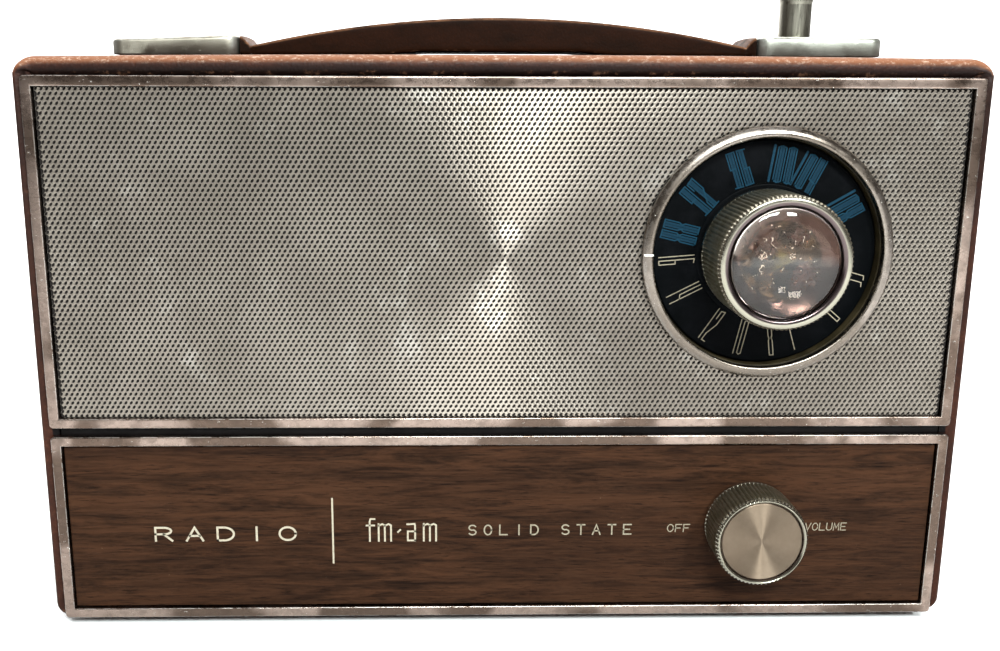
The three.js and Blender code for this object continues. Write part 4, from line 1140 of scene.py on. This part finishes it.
def number_disc():
    low, high, centre, outer = round_size("dial_disc")
    profile = [
        (SHAFT_BORE, high[1]),
        (SHAFT_BORE, low[1] + 0.02),
        (18.2, low[1]),
        (18.5, low[1] + 0.1),
        (18.8, low[1]),
        (outer - 0.3, low[1]),
        (outer, low[1] + 0.3),
        (outer, high[1]),
        (SHAFT_BORE, high[1]),
    ]
    points, faces = turned(filleted(profile, 0.1, 2), centre, "Y", 120)
    return piece("number_disc", points, faces, "dial_black", "tuning", ["dial_disc"])


def dial_numbers():
    low, _ = edges("dial_disc")
    centre = middle("dial_disc")
    bright, shade, cream = Ink(low[1] - 0.03), Ink(low[1]), Ink(low[1])
    height = DIGIT_OUTER - DIGIT_INNER
    for table, wide, gap, line, tops in (
        (FM_NUMBERS, 2.1, 0.75, 0.36, 1),
        (AM_NUMBERS, 1.05, 0.85, 0.25, -1),
    ):
        for text, angle in table.items():
            turn = math.radians(angle)
            up = np.array([-math.cos(turn), math.sin(turn)]) * tops
            right = np.array([up[1], -up[0]])
            base = DIGIT_INNER if tops > 0 else DIGIT_OUTER
            origin = np.array([centre[0], centre[2]]) + up * tops * base
            widths = [wide * 0.3 if character == "1" else wide for character in text]
            total = sum(widths) + gap * (len(text) - 1)

            def to_plane(p, origin=origin, up=up, right=right):
                return origin + right * p[0] + up * p[1]

            left = -total / 2
            for character, width in zip(text, widths):
                for stroke in DIGITS[character]:
                    placed = [(left + u * width, v * height) for u, v in stroke]
                    (bright if tops > 0 else cream).stroke(placed, line, to_plane)
                if tops > 0:
                    for share in (0.36, 0.64) if width > 1 else (0.5,):
                        centre_line = left + share * width
                        ends = (SHADE_MARGIN, height - SHADE_MARGIN)
                        shade.stroke([(centre_line, end) for end in ends], SHADE_WIDTH, to_plane)
                left += width + gap
    bright.piece("fm_numbers", "fm_ink", "tuning")
    shade.piece("fm_number_shade", "fm_shade", "tuning")
    cream.piece("am_numbers", "am_ink", "tuning")


# ---- Knobs --------------------------------------------------------------------------------------------
def knurled(name, node, body, cap, teeth, flange, mouth, rim):
    """A turned knob: a smooth flange at its foot, a straight knurl, and a bright rolled rim round a cap."""
    low, high, centre, outer = round_size(node)
    front, back = low[1], high[1]
    well_floor = edges(cap)[1][1] + 0.2
    knurl_back, knurl_front = back - flange, front + rim

    def ripple(angle, radius, place):
        if knurl_front - 0.25 <= place <= knurl_back and radius > outer - 0.5:
            return radius - TOOTH_DEPTH * (0.5 + 0.5 * math.cos(angle * teeth)) ** 1.6
        return radius

    profile = [
        (SHAFT_BORE, well_floor + 2),
        (SHAFT_BORE, back),
        (outer - 0.35, back),
        (outer, back - 0.3),
        (outer, knurl_back + 0.35),
        (outer - 0.15, knurl_back + 0.12),
        (outer - 0.1, knurl_back - 0.02),
        (outer - 0.02, knurl_back - 0.35),
    ]
    for share in (0.2, 0.4, 0.6, 0.8):
        profile.append((outer - 0.04, knurl_back + (knurl_front - knurl_back) * share))
    profile += [
        (outer - 0.04, knurl_front + 0.25),
        (outer - 0.3, knurl_front + 0.01),
        (outer - 0.42, knurl_front - 0.2),
        (outer - 0.7, front + 0.2),
        (outer - 1.0, front),
        (mouth + 0.75, front + 0.02),
        (mouth + 0.28, front + 0.3),
        (mouth, front + 1.0),
        (mouth, well_floor),
        (0.05, well_floor),
        (0.05, well_floor + 2),
        (SHAFT_BORE, well_floor + 2),
    ]
    points, faces = turned(profile, centre, "Y", teeth * 6, ripple)
    return piece(name, points, faces, f"{body}_metal", body, [node], 42)


def foil_medallion():
    """A crumpled foil disc under the dome. The relief is random, with no figure on it."""
    low, high, centre, outer = round_size("tuning_knob_emblem")
    rings, segments = 60, 150
    points = []
    for i in range(rings + 1):
        share = i / rings
        radius = max(share * outer, 0.02)
        for j in range(segments):
            angle = 2 * math.pi * j / segments
            x, z = radius * math.cos(angle), radius * math.sin(angle)
            crumple = abs(noise.noise(Vector((x * 0.28 + 3, z * 0.28, 1.7)))) * 1.5
            crumple += abs(noise.noise(Vector((x * 0.75, z * 0.75 + 5, 4.2)))) * 0.9
            crumple += noise.noise(Vector((x * 1.7, z * 1.7, 9.1))) * 0.1
            calm = min(1.0, max(0.0, (0.72 - share) * 12)) * min(1.0, max(0.3, (share - 0.08) * 9))
            bowl = 0.5 * max(0.0, share - 0.7) / 0.3
            depth = low[1] + 0.95 - bowl + (0.3 - crumple) * 0.95 * calm
            points.append((centre[0] + x, max(depth, low[1]), centre[2] + z))
    rim = len(points)
    for j in range(segments):
        angle = 2 * math.pi * j / segments
        x, z = outer * math.cos(angle), outer * math.sin(angle)
        points.append((centre[0] + x, high[1], centre[2] + z))
    faces = [tuple(reversed(f)) for f in sheet_faces(rings + 2, segments)]
    faces.append(tuple(range(rim, rim + segments)))
    faces.append(tuple(reversed(range(segments))))
    return piece(
        "foil_medallion", points, faces, "emblem_foil", "tuning", ["tuning_knob_emblem"], 60
    )


def clear_cap():
    low, high, centre, outer = round_size("tuning_knob_lens")
    outer += DOME_EXTRA
    rim = low[1] + 2.3
    profile = [(0.02, high[1]), (outer - 0.2, high[1]), (outer, high[1] - 0.2), (outer, rim)]
    steps = 20
    for i in range(1, steps + 1):
        angle = math.radians(90 * i / steps)
        profile.append((max(outer * math.cos(angle), 0.02), rim + (low[1] - rim) * math.sin(angle) ** 0.9))
    points, _ = turned(profile, centre, "Y", 120)
    faces = capped(len(profile), 120)
    return piece("clear_cap", points, faces, "clear_lens", "tuning", ["tuning_knob_lens"], 60)


def spun_cap():
    """The volume knob's face, faintly dished."""
    low, high, centre, outer = round_size("volume_knob_cap")
    outer += VOLUME_FACE_EXTRA
    profile = [(outer - 0.1, high[1]), (outer, high[1] - 0.2), (outer, low[1] + 0.3), (outer - 0.3, low[1])]
    for share in (0.9, 0.75, 0.6, 0.45, 0.3, 0.15, 0.002):
        profile.append((outer * share, low[1] + 0.18 * (1 - share * share)))
    points, _ = turned(profile, centre, "Y", 120)
    faces = capped(len(profile), 120)
    made = piece(
        "volume_face", points, faces, "spun_aluminium", "volume", ["volume_knob_cap"], 40
    )
    centre_texture(made, Vector(centre) * MM)
    return made


# ---- Handle -------------------------------------------------------------------------------------------
def strap_heights(x):
    """Height above the case of the strap's underside and top, at x from the middle."""
    reach = abs(x)
    settle = min(1.0, max(0.0, (reach - STRAP_ARCH) / STRAP_SETTLE))
    bottom = STRAP_REST + STRAP_ARCH_RISE * (1 - settle**2 * (3 - 2 * settle))
    top = STRAP_TOP - STRAP_CURVE * x**2
    if reach > NECK:
        top = TAB_START + TAB_RISE * min(1.0, (reach - NECK) / TAB_LENGTH)
    return bottom, top


def strap_half(side):
    """Half of the padded strap, from the middle to where it goes into its end plate."""
    low, high = edges("handle_strap")
    depth_middle = (low[1] + high[1]) / 2
    half_width = (high[1] - low[1]) / 2 - 0.2
    base = edges("case_shell")[1][2]
    stations = [i * 1.3 for i in range(52)] + [67.2, 67.9, 68.4, 68.8, 69.0, 69.3, 69.8, 70.4, 71.0, 71.55]
    points = []
    for reach in stations:
        bottom, top = strap_heights(side * reach)
        width = half_width * (1 - 0.06 * math.exp(-(((reach - NECK) / 1.6) ** 2)))
        corner = min(1.0, (top - bottom) * 0.3)
        section, _ = rect_loop(-width, bottom, width, top, corner, 5, 8)
        for across, height in section:
            crown = 0.35 * (1 - (across / width) ** 2) * (1 if height > (bottom + top) / 2 else 0)
            points.append((side * reach + HANDLE_OFFSET, depth_middle + across, base + height + crown))
    faces = capped(len(stations), len(section))
    if side > 0:
        faces = [tuple(reversed(f)) for f in faces]
    word = "right" if side > 0 else "left"
    made = piece(
        f"handle_grip_{word}", points, faces, "handle_leather", None, sharp_above=60
    )
    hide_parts("handle_strap", f"handle_tab_{word}")
    height = (base + 4) * MM
    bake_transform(made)
    return made


def end_plate(word, side):
    """A die-cast end plate with rounded plan corners, a rolled top edge and a faint crown."""
    node = f"handle_plate_{word}"
    low, high = edges(node)
    left, right = low[0] + HANDLE_OFFSET, high[0] + HANDLE_OFFSET
    rounding, corner, chamfer, crown = 1.2, 3.4, 0.3, 0.25
    full_height = high[2] - low[2]
    flat, outward = rect_loop(left, low[1], right, high[1], corner, 8, 12)
    inner_end = left if side > 0 else right
    slope = PLATE_FALL[word] / (high[0] - low[0])
    rings = []

    def ring(shape, height):
        drop = np.abs(shape[:, 0] - inner_end) * slope
        level = low[2] + (full_height - drop) * height / full_height
        rings.append(np.stack([shape[:, 0], shape[:, 1], level], 1))

    ring(flat - outward * chamfer, 0.0)
    ring(flat, chamfer)
    steps = 7
    for i in range(steps + 1):
        angle = math.radians(90 * i / steps)
        inset = rounding * (1 - math.cos(angle))
        ring(flat - outward * inset, full_height - crown - rounding * (1 - math.sin(angle)))
    rolled = flat - outward * rounding
    if side > 0:
        aerial = np.array(middle("antenna_tube")[:2])
        away = rolled - aerial
        tube_low, tube_high = edges("antenna_tube")
        reach = (tube_high[0] - tube_low[0]) / 2 + AERIAL_CLEARANCE
        inner = aerial + away / np.linalg.norm(away, axis=1)[:, None] * reach
    else:
        centre = np.array([(left + right) / 2, (low[1] + high[1]) / 2])
        inner = centre + (rolled - rolled.mean(axis=0)) * 0.01
    for share in (0.75, 0.5, 0.25, 0.0):
        ring(inner + (rolled - inner) * share, full_height - crown * share**2)
    if side > 0:
        ring(inner, 0.0)
        faces = sheet_faces(len(rings), len(flat), close_rings=True)
    else:
        faces = capped(len(rings), len(flat))
    points = np.concatenate(rings)
    return piece(f"end_plate_{word}", points, faces, "die_cast", "cabinet", [node], 50)


# ---- Aerial -------------------------------------------------------------------------------------------
def aerial_piece(name, node, body, material, wall, segments=48):
    """A drawn tube, or a rod where wall is None, with rolled ends."""
    low, high, centre, outer = round_size(node)
    roll = min(0.25, outer * 0.2)
    profile = [(outer - roll, low[2]), (outer, low[2] + roll)]
    for share in (0.25, 0.5, 0.75):
        profile.append((outer, low[2] + (high[2] - low[2]) * share))
    profile += [(outer, high[2] - roll), (outer - roll, high[2])]
    if wall is None:
        points, _ = turned(profile, centre, "Z", segments)
        faces = capped(len(profile), segments)
    else:
        profile += [(outer - wall, high[2] - roll), (outer - wall, low[2] + roll), profile[0]]
        points, faces = turned(profile, centre, "Z", segments)
    return piece(name, points, faces, material, body, [node], 40)


def aerial_button():
    """The turned cap on the tip, close above its plate: a rolled lip and a shallow dish on top."""
    low, high, centre, outer = round_size("antenna_cap")
    outer += AERIAL_TIP_EXTRA
    foot = low[2] - AERIAL_TIP_DROP
    profile = [
        (0.05, foot),
        (outer - 0.5, foot),
        (outer - 0.22, foot + 0.3),
        (outer - 0.2, high[2] - 2.0),
        (outer - 0.05, high[2] - 1.3),
        (outer, high[2] - 0.8),
        (outer - 0.15, high[2] - 0.2),
        (outer - 0.6, high[2]),
        (outer - 1.1, high[2] - 0.1),
        (outer - 1.7, high[2] - 0.4),
        (0.05, high[2] - 0.45),
    ]
    points, _ = turned(filleted(profile, 0.18, 3), centre, "Z", 64)
    faces = capped(len(points) // 64, 64)
    return piece(
        "aerial_button", points, faces, "drawn_metal", "antenna_tip", ["antenna_cap"], 40
    )


# ---- Pieces kept from the CAD model -------------------------------------------------------------------
# The CAD pieces that show as they are, by material.
KEPT_NODES = {
    "black_plastic": ["front_baffle", "band_switch_slider", "earphone_jack", "back_cover", "battery_door"],
    "plated_steel": [
        "tuning_shaft",
        "volume_shaft",
        "volume_control",
        "battery_contact_left",
        "battery_contact_right",
        "back_screw_left",
        "back_screw_right",
        "speaker_basket",
        "speaker_magnet",
        "if_transformer_1",
        "if_transformer_2",
        "audio_transformer",
    ],
    "grey_plastic": [
        "tuning_capacitor",
        "antenna_bracket",
        "ferrite_clip_left",
        "ferrite_clip_right",
        "band_switch",
        "battery_tray",
    ],
    "cone_paper": ["speaker_cone"],
    "board": ["circuit_board"],
    "cell_jacket": ["electrolytic_capacitor", "battery_1", "battery_2", "battery_3", "battery_4"],
    "ferrite": ["ferrite_rod"],
    "winding": ["ferrite_coil"],
    "rubber": ["foot_front_left", "foot_front_right", "foot_rear_left", "foot_rear_right"],
}


def dress_cad_node(node, material):
    """Gives a CAD node its material and softened edges."""
    node.data.materials.clear()
    node.data.materials.append(material)
    soften = node.modifiers.new("soften", "BEVEL")
    soften.width = 0.3 * MM
    soften.segments = 2
    soften.limit_method = "ANGLE"
    soften.angle_limit = math.radians(40)
    soften.harden_normals = True


def dress_cad_nodes():
    for material, names in KEPT_NODES.items():
        for name in names:
            dress_cad_node(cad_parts[name], MATERIALS[material])


def battery_door_grip():
    """Finger ribs along the top of the battery door."""
    low, high = edges("battery_door")
    points, faces = [], []
    length, rise, pitch = 30, 0.55, 1.8
    centre_x = (low[0] + high[0]) / 2
    for number in range(6):
        z = high[2] - 5 - number * pitch
        base = len(points)
        steps = 8
        for x in (centre_x - length / 2, centre_x + length / 2):
            for i in range(steps + 1):
                angle = math.pi * i / steps
                points.append((x, high[1] + rise * math.sin(angle) - 0.05, z + 0.55 * math.cos(angle)))
        for i in range(steps):
            a = base + i
            faces.append((a, a + 1, a + steps + 2, a + steps + 1))
        faces.append(tuple(base + i for i in reversed(range(steps + 1))))
        faces.append(tuple(base + steps + 1 + i for i in range(steps + 1)))
    return piece("battery_door_grip", points, faces, "black_plastic", "battery_door")


# ---- Floor, light and camera --------------------------------------------------------------------------
def studio_surface(name, colour):
    s = Surface(name, {"Specular IOR Level": 0.2})
    tone = tuple(round(channel * 0.985) for channel in colour)
    s.use("Base Color", s.mix(s.ramp(s.noise(60, 3, 0.5), 0.4, 0.6), srgb(*colour), srgb(*tone)))
    s.use("Roughness", s.ramp(s.noise(20, 3, 0.5), 0.3, 0.7, 0.75, 0.9))
    return s.material


def sweep():
    """The pale floor, which curves up into a wall behind the radio."""
    width, front, bend, radius, height = 6.0, -3.0, 1.6, 0.8, 3.2
    line = [(front, 0.0), (bend, 0.0)]
    for i in range(1, 13):
        angle = math.radians(90 * i / 12)
        line.append((bend + radius * math.sin(angle), radius * (1 - math.cos(angle))))
    line.append((bend + radius, height))
    points = [(x, y, z) for y, z in line for x in (-width / 2, width / 2)]
    faces = [(2 * i, 2 * i + 1, 2 * i + 3, 2 * i + 2) for i in range(len(line) - 1)]
    mesh = bpy.data.meshes.new("studio_sweep")
    mesh.from_pydata(points, [], faces)
    mesh.materials.append(studio_surface("studio_white", (250, 250, 250)))
    mesh.polygons.foreach_set("use_smooth", [True] * len(mesh.polygons))
    made = in_scene("studio_sweep", mesh)


def softbox(name, place, target, size, power, colour=(1, 1, 1)):
    data = bpy.data.lights.new(name, "AREA")
    data.shape = "RECTANGLE"
    data.size, data.size_y = size
    data.energy = power
    data.color = colour
    made = in_scene(name, data)
    made.location = place
    made.rotation_euler = (Vector(target) - Vector(place)).to_track_quat("-Z", "Y").to_euler()


def lights():
    world = bpy.data.worlds.new("studio")
    bpy.context.scene.world = world
    world.use_nodes = True
    background = world.node_tree.nodes["Background"]
    background.inputs["Color"].default_value = (1.0, 0.96, 0.91, 1.0)
    background.inputs["Strength"].default_value = 0.21
    softbox("key", (0.05, -0.95, 0.78), (0, 0, 0.09), (0.34, 0.2), 18, (0.93, 1.0, 1.0))
    softbox("right_key", (0.42, -0.95, 0.63), (0.06, 0, 0.05), (0.1, 0.16), 12, (0.93, 1.0, 1.0))
    softbox("top", (0.0, 0.3, 1.3), (0, 0, 0.1), (1.3, 0.8), 12)
    softbox("back_wash", (0.0, 1.1, 1.7), (0, 2.2, 0.7), (2.4, 0.6), 110)
    bpy.context.scene.view_settings.view_transform = "Standard"


def camera():
    forward = Vector(
        (
            math.sin(CAMERA_RIGHT) * math.cos(CAMERA_DOWN),
            math.cos(CAMERA_RIGHT) * math.cos(CAMERA_DOWN),
            -math.sin(CAMERA_DOWN),
        )
    )
    level = Vector((math.cos(CAMERA_RIGHT), -math.sin(CAMERA_RIGHT), 0))
    upright = level.cross(forward)
    right = level * math.cos(CAMERA_ROLL) + upright * math.sin(CAMERA_ROLL)
    up = upright * math.cos(CAMERA_ROLL) - level * math.sin(CAMERA_ROLL)
    data = bpy.data.cameras.new("camera")
    data.sensor_width = 36
    data.lens = CAMERA_LENS
    data.shift_x, data.shift_y = CAMERA_SHIFT
    data.clip_start, data.clip_end = 0.01, 20
    made = in_scene("camera", data)
    rows = [(right[i], up[i], -forward[i], CAMERA_PLACE[i]) for i in range(3)]
    made.matrix_world = Matrix([*rows, (0, 0, 0, 1)])
    bpy.context.scene.camera = made


# ---- Build --------------------------------------------------------------------------------------------
camera()
lights()
sweep()
case_cover()
trim("upper_trim", "upper_frame")
trim("lower_trim", "lower_frame")
perforated_grille()
grille_backing()
wood_panel()
panel_words()
dial_well()
dial_ring()
index_mark()
number_disc()
dial_numbers()
knurled("tuning_grip", "tuning_knob", "tuning", "tuning_knob_emblem", **TUNING_KNOB)
foil_medallion()
clear_cap()
knurled("volume_grip", "volume_knob", "volume", "volume_knob_cap", **VOLUME_KNOB)
spun_cap()
strap_half(-1)
strap_half(1)
end_plate("left", -1)
end_plate("right", 1)
aerial_piece("aerial_tube", "antenna_tube", "cabinet", "plated_steel", 0.4)
for stage, wall in ((1, 0.4), (2, 0.35), (3, 0.3)):
    node = f"antenna_section_{stage}"
    aerial_piece(f"aerial_stage_{stage}", node, f"antenna_{stage}", "chromed_tube", wall)
aerial_piece("aerial_rod", "antenna_rod", "antenna_tip", "chromed_tube", None, 32)
aerial_button()
dress_cad_nodes()
battery_door_grip()
